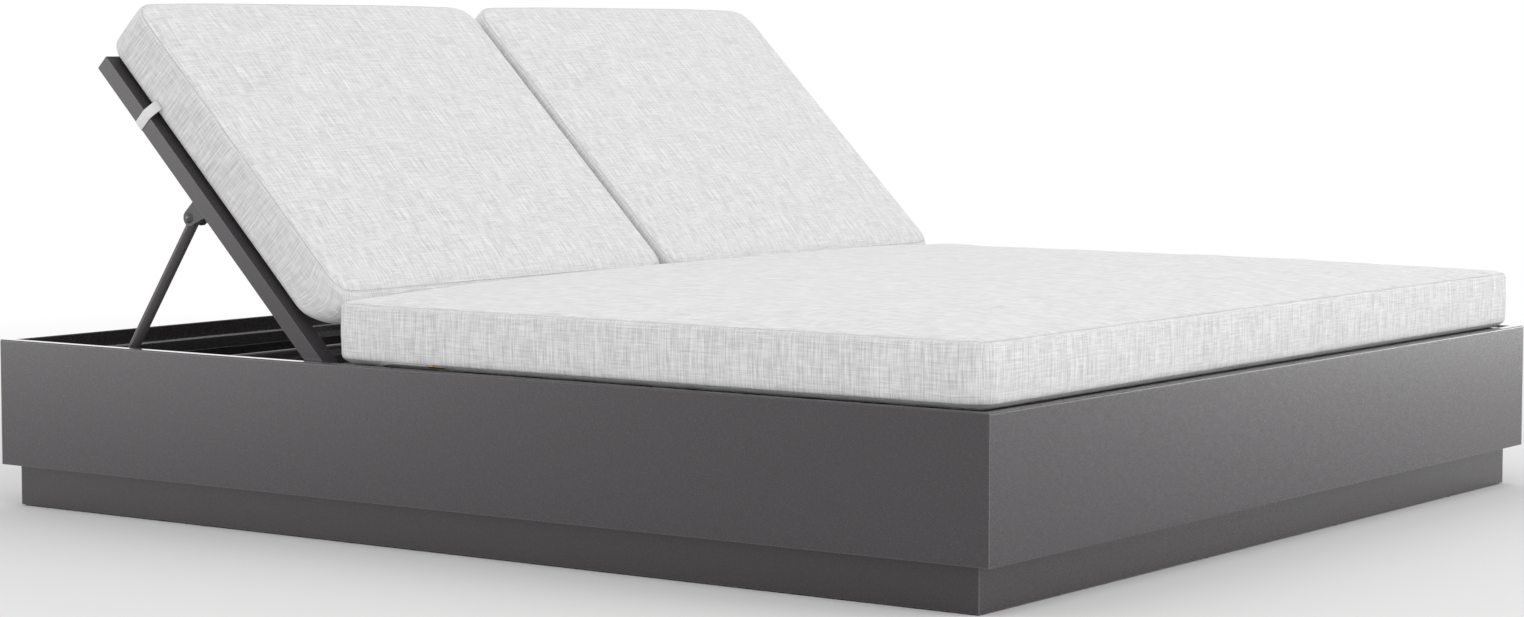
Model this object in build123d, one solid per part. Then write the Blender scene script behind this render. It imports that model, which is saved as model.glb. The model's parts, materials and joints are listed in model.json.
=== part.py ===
from build123d import *
import math
import os

# Double chaise lounger: a low box frame on a recessed plinth, one wide seat cushion,
# and two backrests side by side, each held up by a U-shaped prop that stands on racks.
# +Z is up, +Y points to the head end, +X to the right seen from the foot end.
# The origin is on the floor, under the middle of the frame.

# Overall sizes of the box frame
length = 2030.0
width = 1830.0
rim_height = 290.5
plinth_height = 72.0
panel_thickness = 20.0
plinth_thickness = 20.0
plinth_side_inset = 18.5
plinth_end_inset = 28.0
skin = 2.0
rim_round = 2.5

# Glides under the plinth
glide_height = 2.0
glide_radius = 8.5
glides_per_board = 4

# Inner frame of square and flat tubes
tube_wall = 2.0
frame_tube = 28.0
bottom_rail_height = 30.0
ledge_height = 21.0
ledge_drop = 26.5
bearer_width = 40.0
bearer_height = 40.0
bearer_drop = 6.0
corner_plate_leg = 60.0
corner_plate_thickness = 4.0
front_cross_from_foot = 660.0

# Slatted deck of the seat
slat_width = 62.0
slat_height = 24.0
slat_count = 12
slat_end_gap = 1.0
deck_end_gap = 9.0
slat_screw_radius = 3.0
slat_screw_head_radius = 5.5
slat_screw_head_height = 1.6
slat_screw_grip = 12.0
screw_play = 0.1

# Backrests
recline_deg = 45.0
hinge_from_head = 732.3
rail_head_gap = 13.3
rail_side_gap = 5.0
rail_centre_gap = 10.0
rail_width = 34.0
rail_depth = 28.0
rail_wall = 2.0
rest_gap = 0.3
cross_bar_side = 12.5
cross_bar_wall = 1.2
cross_bar_count = 13
first_bar = 22.5
cross_bar_sink = 4.2

# Hinge at the foot of each backrest rail
hinge_pin_radius = 5.0
bush_radius = 7.0
bush_flange_radius = 9.5
bush_flange = 0.4
running_fit = 0.05
press_gap = 0.02
cheek_thickness = 4.0
cheek_gap = 0.5
cheek_round = 11.0
cheek_foot = 32.0
hinge_base_thickness = 4.0
hinge_head_radius = 8.0
hinge_head_height = 3.0

# Prop under each backrest
prop_pin_along = 374.0
prop_pin_drop = 26.0
prop_length = 325.0
prop_lean_deg = 34.0
prop_fold_ratio = 2.1
prop_radius = 9.5
prop_wall = 1.5
prop_bend = 60.0
eye_radius = 10.5
eye_end_gap = 0.5
ear_thickness = 4.0
ear_inset = 1.5
ear_round = 13.8
ear_before = 24.5
ear_after = 13.5
prop_pin_radius = 4.0
prop_head_radius = 9.0
prop_head_height = 4.5
prop_nut_radius = 7.0
prop_nut_height = 3.0

# Racks that the props stand in
rack_thickness = 5.0
rack_flange = 26.0
rack_flange_thickness = 4.0
rack_running_gap = 0.5
rack_lead = 26.0
rack_head_gap = 6.0
rack_foot_length = 40.0
rack_leg_width = 36.0
rack_arch_share = 0.33
rack_outer_place = 115.0
rack_inner_place = 100.0
notch_radius = 5.0
notch_count = 4
notch_step_deg = 11.0
rack_screw_radius = 3.0
rack_screw_head_radius = 6.0
rack_screw_head_height = 4.0

# Seat cushion
seat_thickness = 100.0
seat_lift = 0.3
seat_side_inset = 15.0
seat_foot_inset = 15.0
seat_rear_gap = 36.7
seat_tuck = 16.0
seat_round = 14.0
seat_crown = 18.0
seat_end_bow = 6.0

# Back cushions
back_thickness = 100.0
back_lift = 0.3
back_side_inset = 8.0
back_centre_gap = 6.0
back_overhang = 39.0
back_low_start = 30.0
back_round = 15.0
back_crown = 6.0
back_tuck = 14.0
back_end_bow = 18.0

# Straps that hold each back cushion to its rails
strap_width = 20.0
strap_thickness = 1.2
strap_place = 562.0
strap_rise = 16.0
strap_gap = 0.2
strap_knee_share = 0.4

# Shared values
overrun = 5.0
crest_steps = 14
slope_step_deg = 0.5
round_steps = 4
crown_steps = 5
edge_crown_share = 0.15

# Places worked out from the sizes above
half_length = length / 2
half_width = width / 2
inner_x = half_width - panel_thickness
inner_y = half_length - panel_thickness
ledge_top = rim_height - ledge_drop
ledge_bottom = ledge_top - ledge_height
bottom_rail_top = plinth_height + bottom_rail_height
tube_inner_x = inner_x - frame_tube
tube_inner_y = inner_y - frame_tube
hinge_y = half_length - hinge_from_head
hinge_z = ledge_top + rest_gap + rail_depth / 2
rail_length = hinge_from_head - panel_thickness - rail_head_gap
bearer_top = ledge_top - bearer_drop
bearer_bottom = bearer_top - bearer_height
bearer_front = hinge_y - bearer_width / 2
bearer_back = hinge_y + bearer_width / 2
deck_top = ledge_top + slat_height
rail_outer_x = inner_x - rail_side_gap
rail_outer_mid = rail_outer_x - rail_width / 2
rail_inner_mid = rail_centre_gap + rail_width / 2
bar_from = rail_centre_gap + rail_width
bar_to = rail_outer_x - rail_width
pin_below = rail_depth / 2 + prop_pin_drop
prop_swing_start = prop_lean_deg - 90.0
front_cross_y = -half_length + front_cross_from_foot
beam_bottom = ledge_top - bearer_height
slat_end_x = inner_x - slat_end_gap


def block(x0, x1, y0, y1, z0, z1):
    """A solid box between two corners."""
    centre = Pos((x0 + x1) / 2, (y0 + y1) / 2, (z0 + z1) / 2)
    return centre * Box(abs(x1 - x0), abs(y1 - y0), abs(z1 - z0))


def tube(x0, x1, y0, y1, z0, z1, along, wall):
    """A square tube between two corners, open at its ends, running along X, Y or Z."""
    reach = {"X": (overrun, -wall, -wall), "Y": (-wall, overrun, -wall), "Z": (-wall, -wall, overrun)}
    dx, dy, dz = reach[along]
    bore = block(x0 - dx, x1 + dx, y0 - dy, y1 + dy, z0 - dz, z1 + dz)
    return block(x0, x1, y0, y1, z0, z1) - bore


def rod(radius, x0, x1, y, z):
    """A round bar along X."""
    return Pos((x0 + x1) / 2, y, z) * Rot(0, 90, 0) * Cylinder(radius, abs(x1 - x0))


def plate_x(face_yz, x0, x1):
    """A plate: a flat outline drawn in Y and Z, given its thickness along X."""
    low, high = min(x0, x1), max(x0, x1)
    return Pos(low, 0, 0) * extrude(Plane.YZ * face_yz, high - low)


def outline(points):
    """A flat face inside a closed run of straight edges."""
    return make_face(Polyline(*points, close=True))


def group(solids):
    """Separate solids kept together in one node."""
    flat = []
    for item in solids:
        flat.extend(item.solids())
    return Compound(children=flat)


def save(name, shape):
    """Write one sub-part to its file."""
    export_step(shape, f"parts/{name}.step")


def save_both(name, shape):
    """Write a sub-part of the right side and its mirror image on the left."""
    save(name.format("right"), shape)
    save(name.format("left"), mirror(shape, about=Plane.YZ))


def mirror_pair(shape):
    """The shape and its mirror image across the middle plane."""
    return group([shape, mirror(shape, about=Plane.YZ)])


# Box frame: mitred hollow panels and the recessed plinth

def mitred_board(outer, along_half, thickness, z0, z1, round_top):
    """A hollow board on the +X side, mitred at both ends, with its long top edges rounded."""
    solid = block(outer - thickness, outer, -along_half, along_half, z0, z1)
    if round_top > 0:
        edges = solid.edges().filter_by(Axis.Y).group_by(Axis.Z)[-1]
        solid = fillet(edges, min(round_top, thickness / 3))
    cavity = block(outer - thickness + skin, outer - skin, -along_half, along_half, z0 + skin, z1 - skin)
    inner_half = along_half - thickness
    mitre = outline([(outer, -along_half), (outer, along_half), (outer - thickness, inner_half),
                     (outer - thickness, -inner_half)])
    wedge = Pos(0, 0, z0 - overrun) * extrude(mitre, z1 - z0 + 2 * overrun)
    return (solid - cavity) & wedge


def board_on_side(name, outer, along_half, thickness, z0, z1, round_top):
    """The same board turned to the right, head, left or foot side of the frame."""
    turns = {"right": 0, "head": 90, "left": 180, "foot": 270}
    return Rot(0, 0, turns[name]) * mitred_board(outer, along_half, thickness, z0, z1, round_top)


def make_panels():
    """The four outer panels."""
    section = (panel_thickness, plinth_height, rim_height, rim_round)
    for side in ("left", "right"):
        save(f"side_panel_{side}", board_on_side(side, half_width, half_length, *section))
    for end in ("foot", "head"):
        save(f"{end}_panel", board_on_side(end, half_length, half_width, *section))


def make_plinth():
    """The four plinth boards and the glides under them."""
    out_x = half_width - plinth_side_inset
    out_y = half_length - plinth_end_inset
    section = (plinth_thickness, glide_height, plinth_height, 0)
    for side in ("left", "right"):
        save(f"plinth_{side}", board_on_side(side, out_x, out_y, *section))
    for end in ("foot", "head"):
        save(f"plinth_{end}", board_on_side(end, out_y, out_x, *section))
    mid_x = out_x - plinth_thickness / 2
    mid_y = out_y - plinth_thickness / 2
    pads = []
    for step in range(glides_per_board):
        share = (step + 0.5) / glides_per_board - 0.5
        for sign in (-1, 1):
            for x, y in ((sign * mid_x, share * 2 * out_y), (share * 2 * out_x, sign * mid_y)):
                pads.append(Pos(x, y, glide_height / 2) * Cylinder(glide_radius, glide_height))
    save("glides", group(pads))


# Inner frame: rails on the plinth, posts, ledges, beams

def make_bottom_rails():
    """Tubes that join the plinth to the panels, and the low cross rails between them."""
    z0, z1 = plinth_height, bottom_rail_top
    side = tube(tube_inner_x, inner_x, -tube_inner_y, tube_inner_y, z0, z1, "Y", tube_wall)
    save_both("bottom_rail_{}", side)
    save("bottom_rail_foot", tube(-inner_x, inner_x, -inner_y, -tube_inner_y, z0, z1, "X", tube_wall))
    save("bottom_rail_head", tube(-inner_x, inner_x, tube_inner_y, inner_y, z0, z1, "X", tube_wall))
    rails = []
    for start in (front_cross_y, bearer_front, rack_spans()[0][0]):
        rails.append(tube(-tube_inner_x, tube_inner_x, start, start + bearer_width, z0, z1, "X", tube_wall))
    save("lower_cross_rails", group(rails))


def make_posts():
    """Upright tubes at the corners, under the hinge bearer and under the centre beam."""
    z0, z1 = bottom_rail_top, ledge_bottom
    corner = tube(tube_inner_x, inner_x, tube_inner_y, inner_y, z0, z1, "Z", tube_wall)
    pair = mirror_pair(corner).solids()
    foot_pair = [mirror(post, about=Plane.XZ) for post in pair]
    save("corner_posts", group(pair + foot_pair))
    half = frame_tube / 2
    posts = []
    for x in (-inner_x + half, 0, inner_x - half):
        y0, y1 = hinge_y - half, hinge_y + half
        posts.append(tube(x - half, x + half, y0, y1, bottom_rail_top, bearer_bottom, "Z", tube_wall))
    middle = front_cross_y + bearer_width / 2
    front = tube(-half, half, middle - half, middle + half, bottom_rail_top, beam_bottom, "Z", tube_wall)
    posts.append(front)
    save("support_posts", group(posts))


def slat_starts():
    """Where each slat begins along Y."""
    first = -inner_y + deck_end_gap
    last = bearer_front - deck_end_gap - slat_width
    return [first + step * (last - first) / (slat_count - 1) for step in range(slat_count)]


def make_ledges():
    """Flat tubes round the inside that the deck and the lowered backrests lie on.

    The side ones are drilled for the deck screws.
    """
    side = tube(tube_inner_x, inner_x, -tube_inner_y, bearer_front, ledge_bottom, ledge_top, "Y", tube_wall)
    for y0 in slat_starts():
        bore = Cylinder(slat_screw_radius + screw_play, 2 * slat_screw_grip)
        side = side - Pos(inner_x - frame_tube / 2, y0 + slat_width / 2, ledge_top) * bore
    save_both("ledge_{}", side)
    head = tube(-inner_x, inner_x, tube_inner_y, inner_y, ledge_bottom, ledge_top, "X", tube_wall)
    save("ledge_head", head)
    save("ledge_foot", mirror(head, about=Plane.XZ))


def make_beams():
    """The bearer across the frame under the hinges, and the beam under the middle of the deck."""
    save("hinge_bearer", tube(-inner_x, inner_x, bearer_front, bearer_back, bearer_bottom, bearer_top,
                              "X", tube_wall))
    half = bearer_width / 2
    beam = tube(-half, half, -tube_inner_y, bearer_front, beam_bottom, ledge_top, "Y", tube_wall)
    save("centre_beam", beam)


def make_corner_plates():
    """Triangular plates that tie the bottom rails together at the corners, lying on top of them."""
    z0 = bottom_rail_top
    reach_x, reach_y = tube_inner_x, tube_inner_y
    leg = corner_plate_leg
    plate = outline([(reach_x - leg, reach_y), (reach_x, reach_y - leg), (inner_x, reach_y - leg),
                     (inner_x, reach_y), (reach_x, reach_y), (reach_x, inner_y), (reach_x - leg, inner_y)])
    solid = Pos(0, 0, z0) * extrude(plate, corner_plate_thickness)
    pair = mirror_pair(solid).solids()
    save("corner_plates", group(pair + [mirror(item, about=Plane.XZ) for item in pair]))


# Deck: slats across the seat, screwed to the ledges and the centre beam

def make_deck():
    """Flat tube slats from ledge to ledge, with their screws."""
    slats = []
    screws = []
    for y0 in slat_starts():
        slat = tube(-slat_end_x, slat_end_x, y0, y0 + slat_width, ledge_top, deck_top, "X", tube_wall)
        for sign in (-1, 1):
            x = sign * (inner_x - frame_tube / 2)
            y = y0 + slat_width / 2
            slat = slat - Pos(x, y, ledge_top) * Cylinder(slat_screw_radius + screw_play, slat_screw_grip)
            shank = Pos(x, y, ledge_top + tube_wall - slat_screw_grip / 2)
            shank = shank * Cylinder(slat_screw_radius, slat_screw_grip)
            head = Pos(x, y, ledge_top + tube_wall + slat_screw_head_height / 2)
            head = head * Cylinder(slat_screw_head_radius, slat_screw_head_height)
            screws.append(shank + head)
        slats.append(slat)
    save("deck_slats", group(slats))
    save("slat_screws", group(screws))


# Hinges at the foot of the backrest rails

def cheek(x0, x1):
    """One upright cheek of a hinge bracket, round about the hinge pin."""
    half = cheek_foot / 2
    foot = outline([(hinge_y - half, bearer_top), (hinge_y + half, bearer_top),
                    (hinge_y + cheek_round, hinge_z), (hinge_y - cheek_round, hinge_z)])
    face = foot + Pos(hinge_y, hinge_z) * Circle(cheek_round)
    return plate_x(face, x0, x1)


def pin_hole(x0, x1):
    """The bore for the hinge pin through a bracket."""
    return rod(hinge_pin_radius + press_gap, x0, x1, hinge_y, hinge_z)


def make_hinge_brackets():
    """U-shaped brackets on the bearer: one beside each panel and a double one in the middle."""
    half = cheek_foot / 2
    base_top = bearer_top + hinge_base_thickness
    far = rail_outer_x + cheek_gap
    near = bar_to - cheek_gap
    outer = cheek(far, far + cheek_thickness) + cheek(near - cheek_thickness, near)
    outer = outer + block(near - cheek_thickness, far + cheek_thickness, hinge_y - half, hinge_y + half,
                          bearer_top, base_top)
    outer = outer - pin_hole(near - cheek_thickness - overrun, far + cheek_thickness + overrun)
    save_both("hinge_bracket_{}", outer)
    close = rail_centre_gap - cheek_gap
    wide = bar_from + cheek_gap
    middle = block(-wide - cheek_thickness, wide + cheek_thickness, hinge_y - half, hinge_y + half,
                   bearer_top, base_top)
    for sign in (-1, 1):
        middle = middle + cheek(sign * (close - cheek_thickness), sign * close)
        middle = middle + cheek(sign * wide, sign * (wide + cheek_thickness))
    middle = middle - pin_hole(-wide - cheek_thickness - overrun, wide + cheek_thickness + overrun)
    save("hinge_bracket_centre", middle)


def make_hinge_pins():
    """Headed pins in the brackets; the middle one is long and carries both inner rails."""
    far = rail_outer_x + cheek_gap + cheek_thickness
    near = bar_to - cheek_gap - cheek_thickness
    side = rod(hinge_pin_radius, near - hinge_head_height, far, hinge_y, hinge_z)
    side = side + rod(hinge_head_radius, near - hinge_head_height, near, hinge_y, hinge_z)
    save_both("hinge_pin_{}", side)
    wide = bar_from + cheek_gap + cheek_thickness
    middle = rod(hinge_pin_radius, -wide - hinge_head_height, wide + hinge_head_height, hinge_y, hinge_z)
    for sign in (-1, 1):
        x0, x1 = sign * wide, sign * (wide + hinge_head_height)
        middle = middle + rod(hinge_head_radius, x0, x1, hinge_y, hinge_z)
    save("hinge_pin_centre", middle)


# Backrest frame, drawn lying flat with the hinge at its origin: Y runs up the back, Z is its front

def on_back(shape):
    """Raise a piece of the backrest from flat to its place at rest."""
    return Pos(0, hinge_y, hinge_z) * Rot(recline_deg, 0, 0) * shape


def back_rail(x_mid):
    """One long rail of a backrest: box tube, closed at the top, round at the hinge, bored for the bush."""
    half = rail_depth / 2
    face = Pos(rail_length / 2, 0) * Rectangle(rail_length, rail_depth) + Circle(half)
    rail = plate_x(face, x_mid - rail_width / 2, x_mid + rail_width / 2)
    inside = rail_width / 2 - rail_wall
    cavity = block(x_mid - inside, x_mid + inside, half, rail_length - rail_wall, -half + rail_wall,
                   half - rail_wall)
    bore = rod(bush_radius + press_gap, x_mid - rail_width, x_mid + rail_width, 0, 0)
    return rail - cavity - bore


def hinge_bush(x_mid):
    """A flanged plastic sleeve in the foot of a rail, turning on the hinge pin."""
    half = rail_width / 2
    sleeve = rod(bush_radius, x_mid - half, x_mid + half, 0, 0)
    for sign in (-1, 1):
        x0, x1 = x_mid + sign * half, x_mid + sign * (half + bush_flange)
        sleeve = sleeve + rod(bush_flange_radius, x0, x1, 0, 0)
    return sleeve - rod(hinge_pin_radius + running_fit, x_mid - rail_width, x_mid + rail_width, 0, 0)


def cross_bars():
    """The thin bars between the rails that the cushion lies on, evenly spaced up to the top rail."""
    top = rail_depth / 2 - cross_bar_sink
    pitch = (rail_length - rail_depth / 2 - first_bar) / cross_bar_count
    bars = []
    for step in range(cross_bar_count):
        y = first_bar + step * pitch
        bar = tube(bar_from, bar_to, y - cross_bar_side / 2, y + cross_bar_side / 2,
                   top - cross_bar_side, top, "X", cross_bar_wall)
        bars.append(on_back(bar))
    return group(bars)


def ear(x0, x1):
    """A plate under a rail that carries the prop pin."""
    base = -rail_depth / 2
    blade = outline([(prop_pin_along - ear_before, base), (prop_pin_along + ear_after, base),
                     (prop_pin_along + ear_round, -pin_below), (prop_pin_along - ear_round, -pin_below)])
    face = blade + Pos(prop_pin_along, -pin_below) * Circle(ear_round)
    hole = rod(prop_pin_radius + press_gap, min(x0, x1) - overrun, max(x0, x1) + overrun,
               prop_pin_along, -pin_below)
    return plate_x(face, x0, x1) - hole


def prop_pin(head_x, nut_x):
    """A pin with a domed head on its +X side and a round nut on the other."""
    nut_end = nut_x - prop_nut_height
    dome_radius = (prop_head_radius ** 2 + prop_head_height ** 2) / (2 * prop_head_height)
    centre = Pos(head_x + prop_head_height - dome_radius, prop_pin_along, -pin_below)
    ball = centre * Rot(0, 90, 0) * Sphere(dome_radius)
    dome = ball & rod(prop_head_radius, head_x, head_x + dome_radius, prop_pin_along, -pin_below)
    shaft = rod(prop_pin_radius, nut_end, head_x, prop_pin_along, -pin_below)
    nut = rod(prop_nut_radius, nut_end, nut_x, prop_pin_along, -pin_below)
    return shaft + dome + nut


def make_back_frames():
    """Rails, bars, ears, pins and bushes of both backrests."""
    save_both("back_{}_outer_rail", on_back(back_rail(rail_outer_mid)))
    save_both("back_{}_inner_rail", on_back(back_rail(rail_inner_mid)))
    half = rail_depth / 2
    top_rail = tube(bar_from, bar_to, rail_length - rail_depth, rail_length, -half, half, "X", rail_wall)
    save_both("back_{}_top_rail", on_back(top_rail))
    save_both("back_{}_cross_bars", cross_bars())
    bushes = [on_back(hinge_bush(mid)) for mid in (rail_outer_mid, rail_inner_mid)]
    save_both("back_{}_bushes", group(bushes))
    edge = rail_width / 2 - ear_inset
    ears = []
    pins = []
    for mid in (rail_outer_mid, rail_inner_mid):
        ears.append(on_back(ear(mid + edge - ear_thickness, mid + edge)))
        ears.append(on_back(ear(mid - edge, mid - edge + ear_thickness)))
        pins.append(on_back(prop_pin(mid + edge, mid - edge)))
    save_both("back_{}_prop_ears", group(ears))
    save_both("back_{}_prop_pins", group(pins))


# Prop: a tube bent to a U, hung from the pins, its foot bar over the racks

def pin_place(back_deg):
    """Y and Z of the prop pin when the backrest stands at an angle above flat."""
    turn = math.radians(back_deg)
    y = hinge_y + prop_pin_along * math.cos(turn) + pin_below * math.sin(turn)
    z = hinge_z + prop_pin_along * math.sin(turn) - pin_below * math.cos(turn)
    return y, z


def foot_place(back_deg):
    """Y and Z of the foot bar's axis at that angle: the prop turns with a fixed ratio to the backrest."""
    y, z = pin_place(back_deg)
    lowered = recline_deg - back_deg
    swing = math.radians(prop_swing_start + (prop_fold_ratio - 1) * lowered)
    return y + prop_length * math.cos(swing), z + prop_length * math.sin(swing)


def make_props():
    """The bent tube of each prop and the two eyes that it hangs from."""
    pin_y, pin_z = pin_place(recline_deg)
    foot_y, foot_z = foot_place(recline_deg)
    corners = [(rail_outer_mid, pin_y, pin_z), (rail_outer_mid, foot_y, foot_z),
               (rail_inner_mid, foot_y, foot_z), (rail_inner_mid, pin_y, pin_z)]
    path = FilletPolyline(*corners, radius=prop_bend)
    start = Plane(origin=path @ 0, z_dir=path % 0)
    frame = sweep(start * (Circle(prop_radius) - Circle(prop_radius - prop_wall)), path=path)
    long = rail_width - 2 * ear_inset - 2 * ear_thickness - 2 * eye_end_gap
    eyes = []
    for x in (rail_outer_mid, rail_inner_mid):
        frame = frame - rod(eye_radius, x - long, x + long, pin_y, pin_z)
        sleeve = rod(eye_radius, x - long / 2, x + long / 2, pin_y, pin_z)
        eyes.append(sleeve - rod(prop_pin_radius + running_fit, x - long, x + long, pin_y, pin_z))
    save_both("prop_{}_frame", frame)
    save_both("prop_{}_eyes", group(eyes))


# Racks: notched plates whose crest follows the path of the prop's foot bar

def rack_profile():
    """The plate's outline in Y and Z, with its notches and an arch between its two feet.

    The crest keeps one gap below the foot bar on its way, and drops a little lower where the bar's
    path ends.
    """
    drop = prop_radius + rack_running_gap
    crest = []
    for step in range(crest_steps):
        back_deg = recline_deg * (1 - step / crest_steps)
        y, z = foot_place(back_deg)
        ahead = foot_place(back_deg - slope_step_deg)
        behind = foot_place(back_deg + slope_step_deg)
        slope = math.atan2(ahead[1] - behind[1], ahead[0] - behind[0])
        crest.append((y + drop * math.sin(slope), z - drop * math.cos(slope)))
    (rack_start, arch_from), (arch_to, rack_end) = rack_spans()
    base = bottom_rail_top
    end_y, end_z = foot_place(0)
    level = end_z - drop - 2 * rack_running_gap
    points = [(rack_start, base), (rack_start, crest[0][1])] + crest
    points = points + [(end_y, level), (rack_end, level), (rack_end, base)]
    face = outline(points)
    rise = rack_arch_share * (level - base)
    lift = base + rise
    arch = outline([(arch_from, base), (arch_to, base), (arch_to - rise, lift), (arch_from + rise, lift)])
    face = face - arch
    for step in range(notch_count):
        y, z = foot_place(recline_deg - step * notch_step_deg)
        face = face - Pos(y, z - drop) * Circle(notch_radius)
    return face


def rack_spans():
    """From where to where along Y each rack's two feet stand."""
    start = foot_place(recline_deg)[0] - rack_lead
    end = inner_y - rack_head_gap
    return (start, start + rack_foot_length), (end - rack_leg_width, end)


def make_racks():
    """Four notched plates, each with two flanged feet that point away from its mate, and their screws."""
    face = rack_profile()
    racks = []
    screws = []
    base = bottom_rail_top
    outer = inner_x - rack_outer_place
    for place, away in ((outer, 1), (rack_inner_place, -1)):
        plate = plate_x(face, place - away * rack_thickness, place)
        for y0, y1 in rack_spans():
            flange = block(place, place + away * rack_flange, y0, y1, base, base + rack_flange_thickness)
            x = place + away * rack_flange / 2
            y = (y0 + y1) / 2
            hole = Pos(x, y, base) * Cylinder(rack_screw_radius + screw_play, 4 * rack_flange_thickness)
            plate = plate + (flange - hole)
            head_z = base + rack_flange_thickness
            hexagon = RegularPolygon(rack_screw_head_radius, 6)
            head = Pos(x, y, head_z) * extrude(hexagon, rack_screw_head_height)
            shank = Pos(x, y, head_z - rack_flange_thickness / 2)
            screws.append(head + shank * Cylinder(rack_screw_radius, rack_flange_thickness))
        racks.append(plate)
    save_both("racks_{}", group(racks))
    save("rack_screws", mirror_pair(group(screws)))


# Cushions: lofted bodies with a crown, round edges and sides that draw in

def cushion_section(y0, y1, z0, z1, low, high, crown):
    """A section with a flat underside, round corners and a crowned top."""
    mid = (y0 + y1) / 2
    bend = 1 - math.sqrt(0.5)
    edges = [Line((y0 + low, z0), (y1 - low, z0)),
             ThreePointArc((y1 - low, z0), (y1 - bend * low, z0 + bend * low), (y1, z0 + low)),
             Line((y1, z0 + low), (y1, z1 - high)),
             ThreePointArc((y1, z1 - high), (y1 - bend * high, z1 - bend * high), (y1 - high, z1)),
             ThreePointArc((y1 - high, z1), (mid, z1 + crown), (y0 + high, z1)),
             ThreePointArc((y0 + high, z1), (y0 + bend * high, z1 - bend * high), (y0, z1 - high)),
             Line((y0, z1 - high), (y0, z0 + low)),
             ThreePointArc((y0, z0 + low), (y0 + bend * low, z0 + bend * low), (y0 + low, z0))]
    return make_face(edges)


def loft_across(sections):
    """A body through flat sections that stand across X; each item is a place on X and a face."""
    ordered = sorted(sections, key=lambda item: item[0])
    return loft([Pos(x, 0, 0) * (Plane.YZ * face) for x, face in ordered], ruled=True)


def stations(near, far, edge):
    """Places across a cushion: X, how far the edge has drawn in there, and the share of the crown.

    The edge rounds off over a quarter circle at each side, and the crown falls off from the middle
    with the fourth power of the distance.
    """
    places = []
    for step in range(round_steps + 1):
        turn = math.radians(90.0 * step / round_steps)
        inset = edge * (1 - math.cos(turn))
        draw = edge * (1 - math.sin(turn))
        places.append((near + inset, draw))
        places.append((far - inset, draw))
    for step in range(1, crown_steps):
        places.append((near + edge + (far - near - 2 * edge) * step / crown_steps, 0))
    middle = (near + far) / 2
    result = []
    for x, draw in places:
        off = (x - middle) / (far - middle)
        result.append((x, draw, 1 - (1 - edge_crown_share) * off ** 4))
    return sorted(result)


def make_seat_cushion():
    """The wide seat cushion on the deck."""
    z0 = deck_top + seat_lift
    z1 = z0 + seat_thickness
    y0 = -half_length + seat_foot_inset
    y1 = hinge_y - seat_rear_gap
    edge = half_width - seat_side_inset
    sections = []
    for x, draw, rise in stations(-edge, edge, seat_round):
        bow = seat_end_bow * (1 - rise) + draw
        ends = (y0 + bow, y1 - bow, z0 + draw, z1 - draw)
        face = cushion_section(*ends, seat_tuck, seat_round, seat_crown * rise)
        sections.append((x, face))
    save("seat_cushion", loft_across(sections))


# The lower end of a back cushion, squeezed against the seat cushion, from its underside round to its
# front, as shares of the thickness: along the back first, then through it.
squeezed_end_shares = ((0.75, 0.0), (0.30, 0.17), (0.06, 0.46), (0.02, 0.60), (0.07, 0.72), (0.20, 0.85),
                       (0.31, 0.94), (0.46, 1.0))


def back_section(y0, y1, z0, z1, high, crown):
    """A section of a back cushion: squeezed lower end, round top end, crowned front."""
    deep = z1 - z0
    low = [(y0 + a * deep, z0 + b * deep) for a, b in squeezed_end_shares]
    bend = 1 - math.sqrt(0.5)
    mid = (low[7][0] + y1 - high) / 2
    edges = [ThreePointArc(low[0], low[1], low[2]),
             ThreePointArc(low[2], low[3], low[4]),
             Line(low[4], low[5]),
             ThreePointArc(low[5], low[6], low[7]),
             ThreePointArc(low[7], (mid, z1 + crown), (y1 - high, z1)),
             ThreePointArc((y1 - high, z1), (y1 - bend * high, z1 - bend * high), (y1, z1 - high)),
             Line((y1, z1 - high), (y1, z0 + high)),
             ThreePointArc((y1, z0 + high), (y1 - bend * high, z0 + bend * high), (y1 - high, z0)),
             Line((y1 - high, z0), low[0])]
    return make_face(edges)


def make_back_cushions():
    """The back cushions, lying on the rails of their backrests."""
    z0 = rail_depth / 2 + back_lift
    z1 = z0 + back_thickness
    y0 = back_low_start
    y1 = rail_length + back_overhang
    near = back_centre_gap
    far = rail_outer_x - back_side_inset
    sections = []
    for x, draw, rise in stations(near, far, back_tuck):
        bow = back_end_bow * (1 - rise) + draw
        face = back_section(y0 + draw, y1 - bow, z0 + draw, z1 - draw, back_round, back_crown * rise)
        sections.append((x, face))
    save_both("back_{}_cushion", on_back(loft_across(sections)))


def strap_loop(overhang):
    """An elastic strap, seen along a rail that lies at X zero with its outer face towards +X.

    It comes from the cushion's side, which stands out past that face by the overhang, runs over the
    face and round the back, and ends under the cushion.
    """
    half = rail_depth / 2 + strap_gap
    near = rail_width / 2 + strap_gap
    far = near + strap_thickness
    below = -half - strap_thickness
    start = rail_width / 2 + overhang + strap_gap
    top = rail_depth / 2 + strap_rise
    knee = top - strap_rise * strap_knee_share
    points = [(start, top), (start, knee), (near, half), (near, -half), (-near, -half), (-near, half),
              (-far, half), (-far, below), (far, below), (far, half), (start + strap_thickness, knee),
              (start + strap_thickness, top)]
    solid = extrude(Plane.XZ * outline(points), strap_width / 2, both=True)
    return Pos(0, strap_place, 0) * solid


def make_straps():
    """Straps of the back cushions, round the outer and inner rails."""
    outer = Pos(rail_outer_mid, 0, 0) * strap_loop(-back_side_inset)
    inner = mirror(strap_loop(rail_centre_gap - back_centre_gap), about=Plane.YZ)
    inner = Pos(rail_inner_mid, 0, 0) * inner
    save_both("back_{}_straps", group([on_back(outer), on_back(inner)]))


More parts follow.
